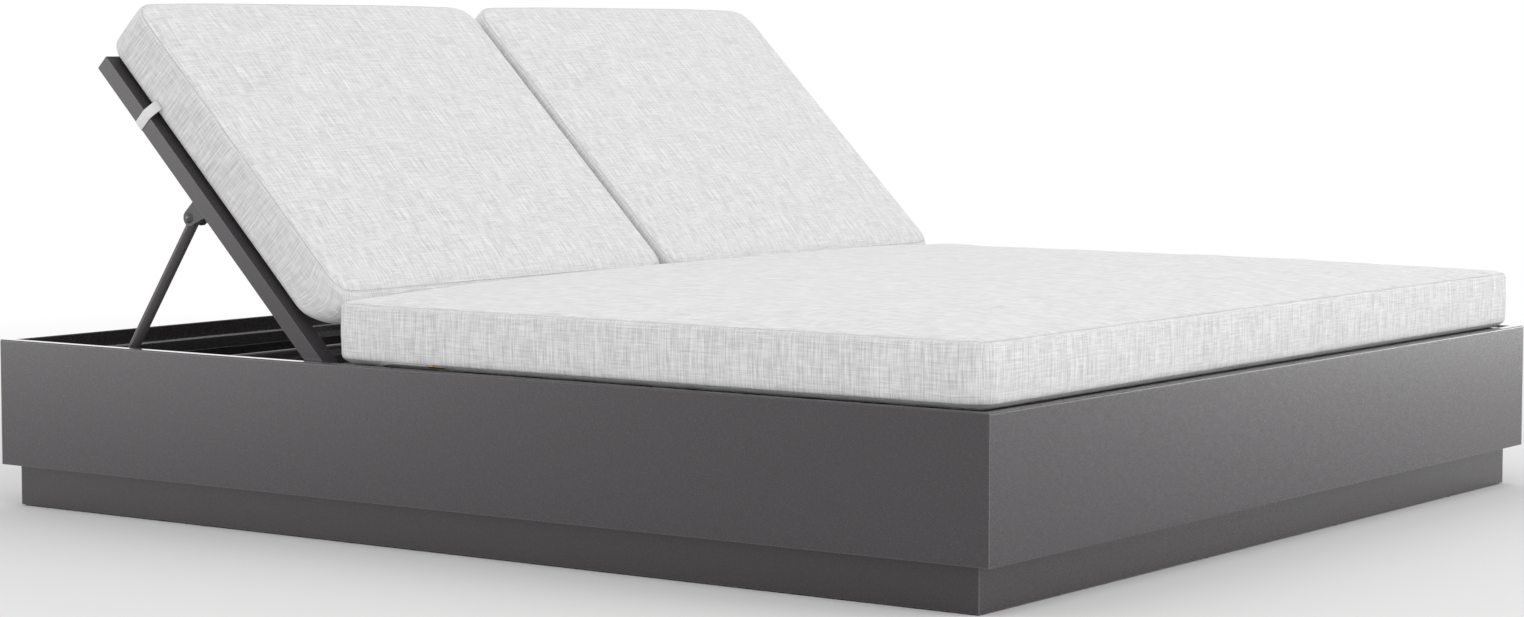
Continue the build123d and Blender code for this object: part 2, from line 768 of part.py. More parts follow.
make_panels()
make_plinth()
make_bottom_rails()
make_posts()
make_ledges()
make_beams()
make_corner_plates()
make_deck()
make_hinge_brackets()
make_hinge_pins()
make_back_frames()
make_props()
make_racks()
make_seat_cushion()
make_back_cushions()
make_straps()
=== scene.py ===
"""Double chaise lounger: the finishes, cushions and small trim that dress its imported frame."""
import json
import logging
import math
from dataclasses import dataclass, field
from enum import Enum
from typing import Callable

import bmesh
import bpy
import numpy as np
from mathutils import Matrix, Vector
from mathutils.bvhtree import BVHTree


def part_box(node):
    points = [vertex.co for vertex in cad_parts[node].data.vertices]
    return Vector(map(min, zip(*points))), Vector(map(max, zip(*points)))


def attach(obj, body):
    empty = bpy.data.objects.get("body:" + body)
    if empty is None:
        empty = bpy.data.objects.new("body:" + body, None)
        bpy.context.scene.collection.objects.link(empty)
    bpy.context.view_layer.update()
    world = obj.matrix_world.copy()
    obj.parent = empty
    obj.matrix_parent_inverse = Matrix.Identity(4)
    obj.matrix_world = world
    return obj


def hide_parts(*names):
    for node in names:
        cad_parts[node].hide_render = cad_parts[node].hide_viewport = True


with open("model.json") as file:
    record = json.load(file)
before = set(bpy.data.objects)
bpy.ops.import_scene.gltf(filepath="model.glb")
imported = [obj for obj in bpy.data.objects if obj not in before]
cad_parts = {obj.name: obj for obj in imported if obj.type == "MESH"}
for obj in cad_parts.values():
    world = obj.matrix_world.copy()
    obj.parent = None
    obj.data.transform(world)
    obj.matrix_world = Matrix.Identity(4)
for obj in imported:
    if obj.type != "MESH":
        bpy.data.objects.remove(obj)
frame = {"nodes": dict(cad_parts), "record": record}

log = logging.getLogger("lounger")

MM = 0.001
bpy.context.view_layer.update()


class Side(Enum):
    """The two halves of the lounger, seen from the foot end."""

    LEFT = -1
    RIGHT = 1

    @property
    def word(self) -> str:
        """The word that node and body names use for this side."""
        return self.name.lower()


# Mesh helpers

def grid_faces(rows: int, columns: int, closed: bool = False) -> np.ndarray:
    """Quads over a grid of points stored row by row.

    Args:
        rows: Number of points along the first direction.
        columns: Number of points along the second direction.
        closed: Whether the last column joins the first one.

    Returns:
        An array of four point numbers for each quad.
    """
    across = columns if closed else columns - 1
    row, column = np.meshgrid(np.arange(rows - 1), np.arange(across), indexing="ij")
    beside = (column + 1) % columns
    quads = (row * columns + column, row * columns + beside,
             (row + 1) * columns + beside, (row + 1) * columns + column)
    return np.stack(quads, axis=-1).reshape(-1, 4)


def mesh_piece(name: str, points: np.ndarray, faces: np.ndarray, maps: dict | None = None,
               smooth: bool = True) -> bpy.types.Object:
    """Make an object from points and faces, with its place in its mesh.

    Args:
        name: Name of the object.
        points: Places of the points in metres, one row each.
        faces: Point numbers, one row for each face.
        maps: Flat places in metres for each corner of each face, by the map's name.
        smooth: Whether the faces are shaded smooth.

    Returns:
        The new object, linked to the scene.
    """
    mesh = bpy.data.meshes.new(name)
    mesh.from_pydata(points.tolist(), [], faces.tolist())
    for label, flat in (maps or {}).items():
        layer = mesh.uv_layers.new(name=label)
        layer.data.foreach_set("uv", flat.astype(np.float32).ravel())
    mesh.polygons.foreach_set("use_smooth", np.full(len(mesh.polygons), smooth))
    mesh.update()
    piece = bpy.data.objects.new(name, mesh)
    bpy.context.scene.collection.objects.link(piece)
    return piece


def read_points(mesh: bpy.types.Mesh) -> np.ndarray:
    """The places of a mesh's points, one row each.

    Args:
        mesh: The mesh.

    Returns:
        An array with a row for each point.
    """
    places = np.empty(len(mesh.vertices) * 3, dtype=np.float32)
    mesh.vertices.foreach_get("co", places)
    return places.reshape(-1, 3).astype(float)


def write_points(mesh: bpy.types.Mesh, points: np.ndarray) -> None:
    """Put places back into a mesh."""
    mesh.vertices.foreach_set("co", points.astype(np.float32).ravel())
    mesh.update()


def sweep(path: np.ndarray, section: np.ndarray, out: np.ndarray) -> tuple:
    """Carry a flat closed section along a path.

    At each point of the path the section is turned so that its plane is square to the path, its second
    axis is the part of the outward direction that is square to the path, and its first axis is square
    to both.

    Args:
        path: Points of the path, one row each.
        section: Points of the section as distances along its two axes.
        out: Outward direction at each point of the path.

    Returns:
        The points and the faces of the swept skin, with flat caps at its ends.
    """
    ahead = np.gradient(path, axis=0)
    ahead = ahead / np.linalg.norm(ahead, axis=1, keepdims=True)
    up = out - ahead * np.sum(out * ahead, axis=1, keepdims=True)
    up = up / np.linalg.norm(up, axis=1, keepdims=True)
    side = np.cross(ahead, up)
    rings = path[:, None, :] + side[:, None, :] * section[None, :, :1] + up[:, None, :] * section[None, :, 1:]
    points = rings.reshape(-1, 3)
    count = len(section)
    faces = grid_faces(len(path), count, closed=True)
    middles = np.stack([path[0], path[-1]])
    first = np.arange(count)
    last = first + (len(path) - 1) * count
    start = np.stack([np.full(count, len(points)), np.roll(first, -1), first, first], axis=1)
    end = np.stack([np.full(count, len(points) + 1), last, np.roll(last, -1), np.roll(last, -1)], axis=1)
    return np.vstack([points, middles]), np.vstack([faces, start, end])


def joined(first: tuple, second: tuple) -> tuple:
    """Two skins of points and faces as one."""
    return (np.concatenate([first[0], second[0]]),
            np.concatenate([first[1], second[1] + len(first[0])]))


def moved(points: np.ndarray, matrix: Matrix) -> np.ndarray:
    """Points turned and shifted by a matrix."""
    turn = np.array(matrix)
    return points @ turn[:3, :3].T + turn[:3, 3]


def rounded(corners: np.ndarray, reach: float, steps: int = 4) -> np.ndarray:
    """A path through corners, each rounded by a parabola.

    Args:
        corners: Corner places, one row each.
        reach: How far before and after a corner its rounding starts and ends.
        steps: Number of stretches in each rounding.

    Returns:
        The points of the path, one row each.
    """
    share = np.linspace(0, 1, steps + 1)[:, None]
    points = [corners[:1]]
    for before, corner, after in zip(corners[:-2], corners[1:-1], corners[2:]):
        start = corner + (before - corner) * reach / np.linalg.norm(before - corner)
        end = corner + (after - corner) * reach / np.linalg.norm(after - corner)
        points.append((1 - share) ** 2 * start + 2 * share * (1 - share) * corner + share ** 2 * end)
    return np.concatenate(points + [corners[-1:]])


def flat_section(width: float, height: float, steps: int = 3) -> np.ndarray:
    """A flat section with half-round edges, as distances along its two axes.

    Args:
        width: Its full width.
        height: Its thickness.
        steps: Number of stretches in each half-round edge.

    Returns:
        The points round the section.
    """
    turn = np.linspace(-math.pi / 2, math.pi / 2, steps + 1)
    edge = np.stack([(width - height) / 2 + np.cos(turn) * height / 2, np.sin(turn) * height / 2], axis=1)
    return np.concatenate([edge, -edge])


def tidy(piece: bpy.types.Object, gap: float) -> None:
    """Merge points closer than a gap and turn the faces outwards.

    Args:
        piece: The piece, whose mesh is changed.
        gap: How close two points are to be merged.
    """
    shell = bmesh.new()
    shell.from_mesh(piece.data)
    bmesh.ops.remove_doubles(shell, verts=shell.verts, dist=gap)
    bmesh.ops.dissolve_degenerate(shell, edges=shell.edges, dist=gap)
    bmesh.ops.recalc_face_normals(shell, faces=shell.faces)
    shell.to_mesh(piece.data)
    shell.free()


def report(piece: bpy.types.Object) -> None:
    """Name a finished piece in the log."""
    log.info("%s: %d faces", piece.name, len(piece.data.polygons))


# Shader helpers

class Nodes:
    """A small builder of shader nodes in one tree."""

    def __init__(self, tree: bpy.types.NodeTree) -> None:
        """Start on an empty tree."""
        self.tree = tree
        tree.nodes.clear()

    def add(self, kind: str, inputs: dict | None = None, **settings: object) -> bpy.types.Node:
        """Add a node.

        Args:
            kind: Type name of the node.
            inputs: Value or output socket for each input, by name or number.
            settings: Attributes of the node.

        Returns:
            The new node.
        """
        node = self.tree.nodes.new(kind)
        for name, value in settings.items():
            setattr(node, name, value)
        for key, value in (inputs or {}).items():
            self.feed(value, node.inputs[key])
        return node

    def feed(self, value: object, socket: bpy.types.NodeSocket) -> None:
        """Link an output socket to an input socket, or set a plain value on it.

        Args:
            value: The socket or the plain value.
            socket: The input that takes it.
        """
        if isinstance(value, bpy.types.NodeSocket):
            self.tree.links.new(value, socket)
        else:
            socket.default_value = value

    def math(self, operation: str, *values: object) -> bpy.types.NodeSocket:
        """The result of a Math node on numbers or sockets."""
        return self.add("ShaderNodeMath", dict(enumerate(values)), operation=operation).outputs[0]

    def times(self, first: object, second: object) -> bpy.types.NodeSocket:
        """The product of two numbers or sockets."""
        return self.math("MULTIPLY", first, second)

    def noise(self, vector: bpy.types.NodeSocket, scale: object, detail: float,
              rough: float = 0.5) -> bpy.types.NodeSocket:
        """The grey value of a Noise Texture."""
        inputs = {"Vector": vector, "Scale": scale, "Detail": detail, "Roughness": rough}
        return self.add("ShaderNodeTexNoise", inputs).outputs["Fac"]

    def ramp(self, value: bpy.types.NodeSocket, low: float, high: float, to_low: float = 0.0,
             to_high: float = 1.0) -> bpy.types.NodeSocket:
        """A value stretched from one range to another and kept inside it."""
        inputs = {"Value": value, "From Min": low, "From Max": high, "To Min": to_low, "To Max": to_high}
        return self.add("ShaderNodeMapRange", inputs, clamp=True).outputs["Result"]

    def mix(self, share: object, first: object, second: object) -> bpy.types.NodeSocket:
        """Two colours mixed by a share.

        Args:
            share: Share of the second colour, a number or a socket.
            first: The first colour or its socket.
            second: The second colour or its socket.

        Returns:
            The mixed colour.
        """
        node = self.add("ShaderNodeMix", data_type="RGBA")
        for number, value in ((0, share), (6, first), (7, second)):
            self.feed(value, node.inputs[number])
        return node.outputs[2]


def new_group(name: str, takes: dict, gives: tuple) -> tuple:
    """Make a shader node group with named sockets.

    Args:
        name: Name of the group.
        takes: Default value of each input: a number, a colour, or None for a place.
        gives: Names of the outputs: Color is a colour, and the others are numbers.

    Returns:
        The group, its builder, its input node and its output node.
    """
    group = bpy.data.node_groups.new(name, "ShaderNodeTree")
    kinds = {type(None): "NodeSocketVector", tuple: "NodeSocketColor", float: "NodeSocketFloat"}
    for label, value in takes.items():
        made = group.interface.new_socket(label, in_out="INPUT", socket_type=kinds[type(value)])
        if value is not None:
            made.default_value = value
    for label in gives:
        kind = "NodeSocketColor" if label == "Color" else "NodeSocketFloat"
        group.interface.new_socket(label, in_out="OUTPUT", socket_type=kind)
    nodes = Nodes(group)
    return group, nodes, nodes.add("NodeGroupInput"), nodes.add("NodeGroupOutput")


def colour(*channels: float) -> tuple:
    """A colour written as screen values from 0 to 255, turned to the linear values that shaders take.

    Args:
        channels: Red, green and blue.

    Returns:
        The linear colour with its alpha.
    """
    share = np.array(channels) / 255.0
    linear = np.where(share <= 0.04045, share / 12.92, ((share + 0.055) / 1.055) ** 2.4)
    return (*linear.tolist(), 1.0)


# Finishes

PALE_SPECK = (0.6, 0.6, 0.6, 1.0)
SOOT = (0.02, 0.02, 0.02, 1.0)
# Dark colour of the painted shade in the low parts between yarns.
YARN_GAP_SHADE = (0.12, 0.12, 0.12, 1.0)
# Dark colour of the painted shade in the seam's furrow and along its stitch row.
SEAM_SHADE = (0.2, 0.2, 0.2, 1.0)
# Pale colour of the painted highlight on powder-coat edges.
EDGE_HIGHLIGHT = (235, 235, 235)
# Pale colour of the painted sheen on powder coat seen at a low angle.
LOW_ANGLE_SHEEN = (250, 250, 250)


class Effects:
    """The shader groups that the finishes share, each built once."""

    def __init__(self) -> None:
        """Build all groups."""
        self.speckle = self.make_speckle()
        self.weave = self.make_weave()
        self.seam = self.make_seam()
        self.patina = self.make_patina()
        self.edges = self.make_edges()

    @staticmethod
    def make_speckle() -> bpy.types.NodeTree:
        """Fine grain of a powder coat: a slight orange peel, pale and dark specks.

        Pale specks are the peaks of a fine noise, and dark specks the hollows of a coarser one.

        Returns:
            The finished group.
        """
        takes = {"Vector": None, "Coat": (0.1, 0.1, 0.1, 1.0), "Grain": 900.0, "Specks": 0.1}
        group, nodes, given, out = new_group("powder speckle", takes, ("Color", "Roughness", "Height"))
        vector, grain = given.outputs["Vector"], given.outputs["Grain"]
        fine = nodes.noise(vector, grain, 1.0)
        coarse = nodes.noise(vector, nodes.times(grain, 0.4), 1.0)
        lift = nodes.times(nodes.ramp(fine, 0.62, 0.78), given.outputs["Specks"])
        sink = nodes.times(nodes.ramp(coarse, 0.36, 0.24), given.outputs["Specks"])
        paler = nodes.mix(lift, given.outputs["Coat"], PALE_SPECK)
        nodes.feed(nodes.mix(sink, paler, SOOT), out.inputs["Color"])
        nodes.feed(nodes.ramp(fine, 0.3, 0.7, 0.25, 0.29), out.inputs["Roughness"])
        nodes.feed(nodes.math("ADD", fine, coarse), out.inputs["Height"])
        return group

    @staticmethod
    def make_weave() -> bpy.types.NodeTree:
        """Plain weave of slub yarns: every yarn has its own tone, which drifts along it.

        The weave is worked out on a flat place in metres. A yarn's number is its place over the pitch,
        rounded down. The upper yarn at a crossing follows the sign of the product of two sines, one
        for each direction, and the height of a yarn is the square root of its sine.

        Returns:
            The finished group.
        """
        takes = {"Vector": None, "Pale": (0.8, 0.8, 0.8, 1.0), "Grey": (0.5, 0.5, 0.5, 1.0),
                 "Pitch": 1.6 * MM, "Slub": 0.5}
        group, nodes, given, out = new_group("slub weave", takes, ("Color", "Height"))
        flat = nodes.add("ShaderNodeSeparateXYZ", {0: given.outputs["Vector"]})
        pitch, slub = given.outputs["Pitch"], given.outputs["Slub"]
        counts, waves, profiles = [], [], []
        for number in (0, 1):
            count = nodes.math("DIVIDE", flat.outputs[number], pitch)
            wave = nodes.math("SINE", nodes.times(count, math.pi))
            counts.append(nodes.math("FLOOR", count))
            waves.append(wave)
            profiles.append(nodes.math("SQRT", nodes.math("ABSOLUTE", wave)))
        upper = nodes.ramp(nodes.times(*waves), -0.25, 0.25)
        tones = []
        for number, (run, stretch) in enumerate(((1, 26.0), (0, 34.0))):
            yarn = Effects.streaks(nodes, (counts[number], 0.731), (flat.outputs[run], stretch), number, 1.0)
            band = Effects.streaks(nodes, (flat.outputs[number], 520.0), (flat.outputs[run], 9.0),
                                   5.0 + number, 3.0, 0.6)
            tones.append(nodes.math("ADD", nodes.ramp(yarn, 0.3, 0.7, -0.5, 0.5),
                                    nodes.ramp(band, 0.3, 0.7, -0.6, 0.6)))
        warp = nodes.times(tones[0], slub)
        weft = nodes.times(tones[1], nodes.times(slub, 0.6))
        share = nodes.math("ADD", nodes.math("ADD", warp, weft), 0.5)
        keep_upper = nodes.times(upper, profiles[0])
        keep_lower = nodes.times(nodes.math("SUBTRACT", 1.0, upper), profiles[1])
        height = nodes.math("ADD", keep_upper, keep_lower)
        # Painted shade: the lower the weave at a point, the more its colour is mixed towards a dark grey.
        shade = nodes.ramp(height, 0.25, 0.95, 0.62, 1.0)
        toned = nodes.mix(nodes.ramp(share, 0.0, 1.0), given.outputs["Grey"], given.outputs["Pale"])
        nodes.feed(nodes.mix(shade, YARN_GAP_SHADE, toned), out.inputs["Color"])
        nodes.feed(height, out.inputs["Height"])
        return group

    @staticmethod
    def streaks(nodes: Nodes, across: tuple, along: tuple, seed: float, detail: float,
                rough: float = 0.5) -> bpy.types.NodeSocket:
        """A noise drawn out into streaks.

        Args:
            nodes: Where the nodes are added.
            across: A place across the streaks and how often they change there.
            along: A place along the streaks and how often they change there.
            seed: Which streaks, so that two sets differ.
            detail: Finer parts of the noise.
            rough: How strong the finer parts are.

        Returns:
            The grey value of the noise.
        """
        parts = {0: nodes.times(*across), 1: nodes.times(*along), 2: float(seed)}
        return nodes.noise(nodes.add("ShaderNodeCombineXYZ", parts).outputs[0], 1.0, detail, rough)

    @staticmethod
    def make_seam() -> bpy.types.NodeTree:
        """The sewn edge of a boxed cushion, worked out on the edge map.

        The map's first value is the place along the seam and its second the distance from it, with
        the panels above zero and the side band below. The seam is a fine furrow between two soft lips,
        a row of stitches runs beside it on the panel, a sine of the place along it breaks both up, and
        small gathers cross the band.

        Returns:
            The finished group.
        """
        takes = {"Vector": None, "Gathers": 0.5}
        group, nodes, given, out = new_group("sewn edge", takes, ("Shade", "Height"))
        stitch, row_place = 3.4 * MM, 4.6 * MM
        place = nodes.add("ShaderNodeSeparateXYZ", {0: given.outputs["Vector"]})
        along, side = place.outputs[0], place.outputs[1]
        away = nodes.math("ABSOLUTE", side)
        furrow = nodes.ramp(away, 1.1 * MM, 0.2 * MM)
        lips = nodes.ramp(away, 6.0 * MM, 1.2 * MM)
        ticks = nodes.math("SINE", nodes.times(along, 2 * math.pi / stitch))
        broken = nodes.ramp(ticks, -0.8, 0.2, 0.45, 1.0)
        from_row = nodes.math("ABSOLUTE", nodes.math("SUBTRACT", side, row_place))
        row = nodes.times(nodes.ramp(from_row, 0.8 * MM, 0.2 * MM), nodes.ramp(ticks, -0.3, 0.3))
        gather = Effects.streaks(nodes, (along, 150.0), (side, 11.0), 3.0, 2.0)
        on_band = nodes.ramp(side, 2.0 * MM, -4.0 * MM, 0.35, 1.0)
        near = nodes.times(nodes.ramp(away, 60.0 * MM, 2.0 * MM), on_band)
        gather = nodes.times(nodes.times(gather, near), given.outputs["Gathers"])
        # Painted shade: the furrow, broken up by the stitches, and the stitch row are darkened.
        dark = nodes.times(nodes.times(furrow, broken), 0.3)
        dark = nodes.math("ADD", dark, nodes.times(row, 0.1))
        nodes.feed(nodes.math("SUBTRACT", 1.0, dark), out.inputs["Shade"])
        raised = nodes.math("SUBTRACT", nodes.times(lips, 0.5), nodes.times(row, 0.25))
        raised = nodes.math("SUBTRACT", raised, furrow)
        nodes.feed(nodes.math("ADD", raised, gather), out.inputs["Height"])
        return group

    @staticmethod
    def make_patina() -> bpy.types.NodeTree:
        """Faint clouds that make a plain finish a little uneven.

        Returns:
            The finished group.
        """
        takes = {"Vector": None, "Base": (0.5, 0.5, 0.5, 1.0), "Scale": 60.0, "Amount": 0.1}
        group, nodes, given, out = new_group("patina", takes, ("Color", "Height"))
        cloud = nodes.noise(given.outputs["Vector"], given.outputs["Scale"], 4.0)
        share = nodes.times(nodes.ramp(cloud, 0.35, 0.75), given.outputs["Amount"])
        nodes.feed(nodes.mix(share, given.outputs["Base"], SOOT), out.inputs["Color"])
        nodes.feed(cloud, out.inputs["Height"])
        return group

    @staticmethod
    def make_edges() -> bpy.types.NodeTree:
        """A mask of the sharp and rounded edges: how far the surface turns within a small radius.

        Returns:
            The finished group.
        """
        group, nodes, given, out = new_group("edge mask", {"Radius": 2.0 * MM}, ("Mask",))
        turned = nodes.add("ShaderNodeBevel", {"Radius": given.outputs["Radius"]}, samples=4).outputs[0]
        plain = nodes.add("ShaderNodeNewGeometry").outputs["Normal"]
        both = nodes.add("ShaderNodeVectorMath", {0: turned, 1: plain}, operation="DOT_PRODUCT")
        nodes.feed(nodes.ramp(both.outputs["Value"], 0.995, 0.85), out.inputs["Mask"])
        return group


@dataclass(frozen=True)
class Finish:
    """What every finish shares: a name and the shader's plain values.

    Attributes:
        name: Name of the material.
        tint: Base colour in screen values.
        roughness: Roughness of the surface.
        bump: Height of the relief in metres.
    """

    name: str
    tint: tuple
    roughness: float = 0.5
    bump: float = 0.0

    def start(self) -> tuple:
        """Make the material with its shader.

        Returns:
            The material, its node builder and the Principled shader.
        """
        material = bpy.data.materials.new(self.name)
        material.use_nodes = True
        nodes = Nodes(material.node_tree)
        plain = {"Roughness": self.roughness, "Base Color": colour(*self.tint)}
        shader = nodes.add("ShaderNodeBsdfPrincipled", plain)
        output = nodes.add("ShaderNodeOutputMaterial")
        nodes.feed(shader.outputs[0], output.inputs[0])
        material.diffuse_color = colour(*self.tint)
        return material, nodes, shader

    def relief(self, nodes: Nodes, shader: bpy.types.Node, height: bpy.types.NodeSocket,
               strength: float = 1.0) -> None:
        """Feed a height to the shader's normal."""
        bump = nodes.add("ShaderNodeBump", {"Strength": strength, "Distance": self.bump, "Height": height})
        nodes.feed(bump.outputs[0], shader.inputs["Normal"])

    def clouds(self, nodes: Nodes, shader: bpy.types.Node, effects: Effects, scale: float,
               amount: float) -> bpy.types.Node:
        """Lay faint clouds over the tint.

        Args:
            nodes: Builder of the material's nodes.
            shader: The Principled shader.
            effects: The shared groups.
            scale: Scale of the clouds.
            amount: Strength of the clouds.

        Returns:
            The placed group.
        """
        place = nodes.add("ShaderNodeTexCoord").outputs["Object"]
        inputs = {"Vector": place, "Base": colour(*self.tint), "Scale": scale, "Amount": amount}
        group = nodes.add("ShaderNodeGroup", inputs, node_tree=effects.patina)
        nodes.feed(group.outputs["Color"], shader.inputs["Base Color"])
        return group


@dataclass(frozen=True)
class PowderCoat(Finish):
    """Charcoal powder coat with fine specks, a painted highlight on its edges and a painted sheen at low
    angles, which is partly a true mirror.

    Attributes:
        grain: Scale of the specks.
        specks: Strength of the specks.
        gloss: Specular level.
        edge_gleam: How strong the painted highlight on the edges is.
        glance: How strong the painted sheen is where the surface is seen at a low angle, where its base
            colour turns pale.
        mirror: How much the surface mirrors the room there.
    """

    bump: float = 0.01 * MM
    grain: float = 900.0
    specks: float = 0.1
    gloss: float = 0.5
    edge_gleam: float = 0.12
    glance: float = 1.0
    mirror: float = 1.0

    def make(self, effects: Effects) -> bpy.types.Material:
        """Build the material.

        Args:
            effects: The shared shader groups.

        Returns:
            The finished material.
        """
        material, nodes, shader = self.start()
        place = nodes.add("ShaderNodeTexCoord").outputs["Object"]
        inputs = {"Vector": place, "Coat": colour(*self.tint), "Grain": self.grain, "Specks": self.specks}
        group = nodes.add("ShaderNodeGroup", inputs, node_tree=effects.speckle)
        shader.inputs["Specular IOR Level"].default_value = self.gloss
        edges = nodes.add("ShaderNodeGroup", node_tree=effects.edges)
        # Painted highlight: the edges found by the bevel mask are mixed towards a pale colour.
        edge_highlight = nodes.times(edges.outputs["Mask"], self.edge_gleam)
        facing = nodes.add("ShaderNodeLayerWeight", {"Blend": 0.5}).outputs["Facing"]
        # Painted sheen: at low angles the base colour turns pale; where mirror is below one, part of it stays
        # diffuse colour rather than a reflection.
        glossy = nodes.ramp(facing, 0.8, 0.89, 0.0, self.glance)
        pale = nodes.mix(edge_highlight, group.outputs["Color"], colour(*EDGE_HIGHLIGHT))
        nodes.feed(nodes.mix(glossy, pale, colour(*LOW_ANGLE_SHEEN)), shader.inputs["Base Color"])
        nodes.feed(nodes.times(glossy, self.mirror), shader.inputs["Metallic"])
        nodes.feed(glossy, shader.inputs["Coat Weight"])
        shader.inputs["Coat Roughness"].default_value = 0.06
        nodes.feed(group.outputs["Roughness"], shader.inputs["Roughness"])
        self.relief(nodes, shader, group.outputs["Height"])
        return material


@dataclass(frozen=True)
class SlubCloth(Finish):
    """Outdoor cloth woven of pale and grey slub yarns.

    Attributes:
        grey: Colour of the grey yarns in screen values.
        pitch: Distance between two yarns.
        slub: How much the yarns differ.
        seam_relief: Height of the seam's relief.
        gathers: Strength of the gathers beside the seam.
    """

    roughness: float = 0.9
    bump: float = 0.15 * MM
    grey: tuple = (206, 206, 206)
    pitch: float = 1.65 * MM
    slub: float = 0.65
    seam_relief: float = 1.0 * MM
    gathers: float = 0.25

    def make(self, effects: Effects) -> bpy.types.Material:
        """Build the material on the piece's own flat map in metres.

        Args:
            effects: The shared shader groups.

        Returns:
            The finished material.
        """
        material, nodes, shader = self.start()
        place = nodes.add("ShaderNodeUVMap", uv_map="cloth").outputs[0]
        inputs = {"Vector": place, "Pale": colour(*self.tint), "Grey": colour(*self.grey),
                  "Pitch": self.pitch, "Slub": self.slub}
        group = nodes.add("ShaderNodeGroup", inputs, node_tree=effects.weave)
        edge = nodes.add("ShaderNodeUVMap", uv_map="edge").outputs[0]
        seam = nodes.add("ShaderNodeGroup", {"Vector": edge, "Gathers": self.gathers}, node_tree=effects.seam)
        shaded = nodes.mix(seam.outputs["Shade"], SEAM_SHADE, group.outputs["Color"])
        nodes.feed(shaded, shader.inputs["Base Color"])
        shader.inputs["Sheen Weight"].default_value = 0.3
        shader.inputs["Sheen Roughness"].default_value = 0.5
        shader.inputs["Specular IOR Level"].default_value = 0.25
        weave = nodes.times(group.outputs["Height"], self.bump)
        sewn = nodes.times(seam.outputs["Height"], self.seam_relief)
        inputs = {"Strength": 1.0, "Distance": 1.0, "Height": nodes.math("ADD", weave, sewn)}
        nodes.feed(nodes.add("ShaderNodeBump", inputs).outputs[0], shader.inputs["Normal"])
        return material


@dataclass(frozen=True)
class RibbedBand(Finish):
    """Flat elastic with fine ribs across it.

    Attributes:
        rib: Distance between two ribs.
    """

    rib: float = 1.4 * MM

    def make(self, effects: Effects) -> bpy.types.Material:
        """Build the material: the ribs are a sine of the place along the rail.

        Args:
            effects: The shared shader groups.

        Returns:
            The finished material.
        """
        material, nodes, shader = self.start()
        self.clouds(nodes, shader, effects, 400.0, 0.12)
        place = nodes.add("ShaderNodeTexCoord").outputs["Object"]
        inputs = {"Vector": place, "Scale": math.pi / self.rib / 10.0, "Distortion": 0.4}
        wave = nodes.add("ShaderNodeTexWave", inputs, bands_direction="DIAGONAL")
        self.relief(nodes, shader, wave.outputs["Fac"], 0.6)
        return material


@dataclass(frozen=True)
class PlainMetal(Finish):
    """Bare or plated metal.

    Attributes:
        metallic: Share of the metal under a thin plating.
        cloud: Strength of the clouds on it.
    """

    metallic: float = 1.0
    cloud: float = 0.2

    def make(self, effects: Effects) -> bpy.types.Material:
        """Build the material.

        Args:
            effects: The shared shader groups.

        Returns:
            The finished material.
        """
        material, nodes, shader = self.start()
        group = self.clouds(nodes, shader, effects, 250.0, self.cloud)
        shader.inputs["Metallic"].default_value = self.metallic
        self.relief(nodes, shader, group.outputs["Height"], 0.3)
        return material


@dataclass(frozen=True)
class MouldedPlastic(Finish):
    """Black moulded plastic with a fine matte grain."""

    def make(self, effects: Effects) -> bpy.types.Material:
        """Build the material.

        Args:
            effects: The shared shader groups.

        Returns:
            The finished material.
        """
        material, nodes, shader = self.start()
        group = self.clouds(nodes, shader, effects, 1500.0, 0.3)
        self.relief(nodes, shader, group.outputs["Height"])
        return material


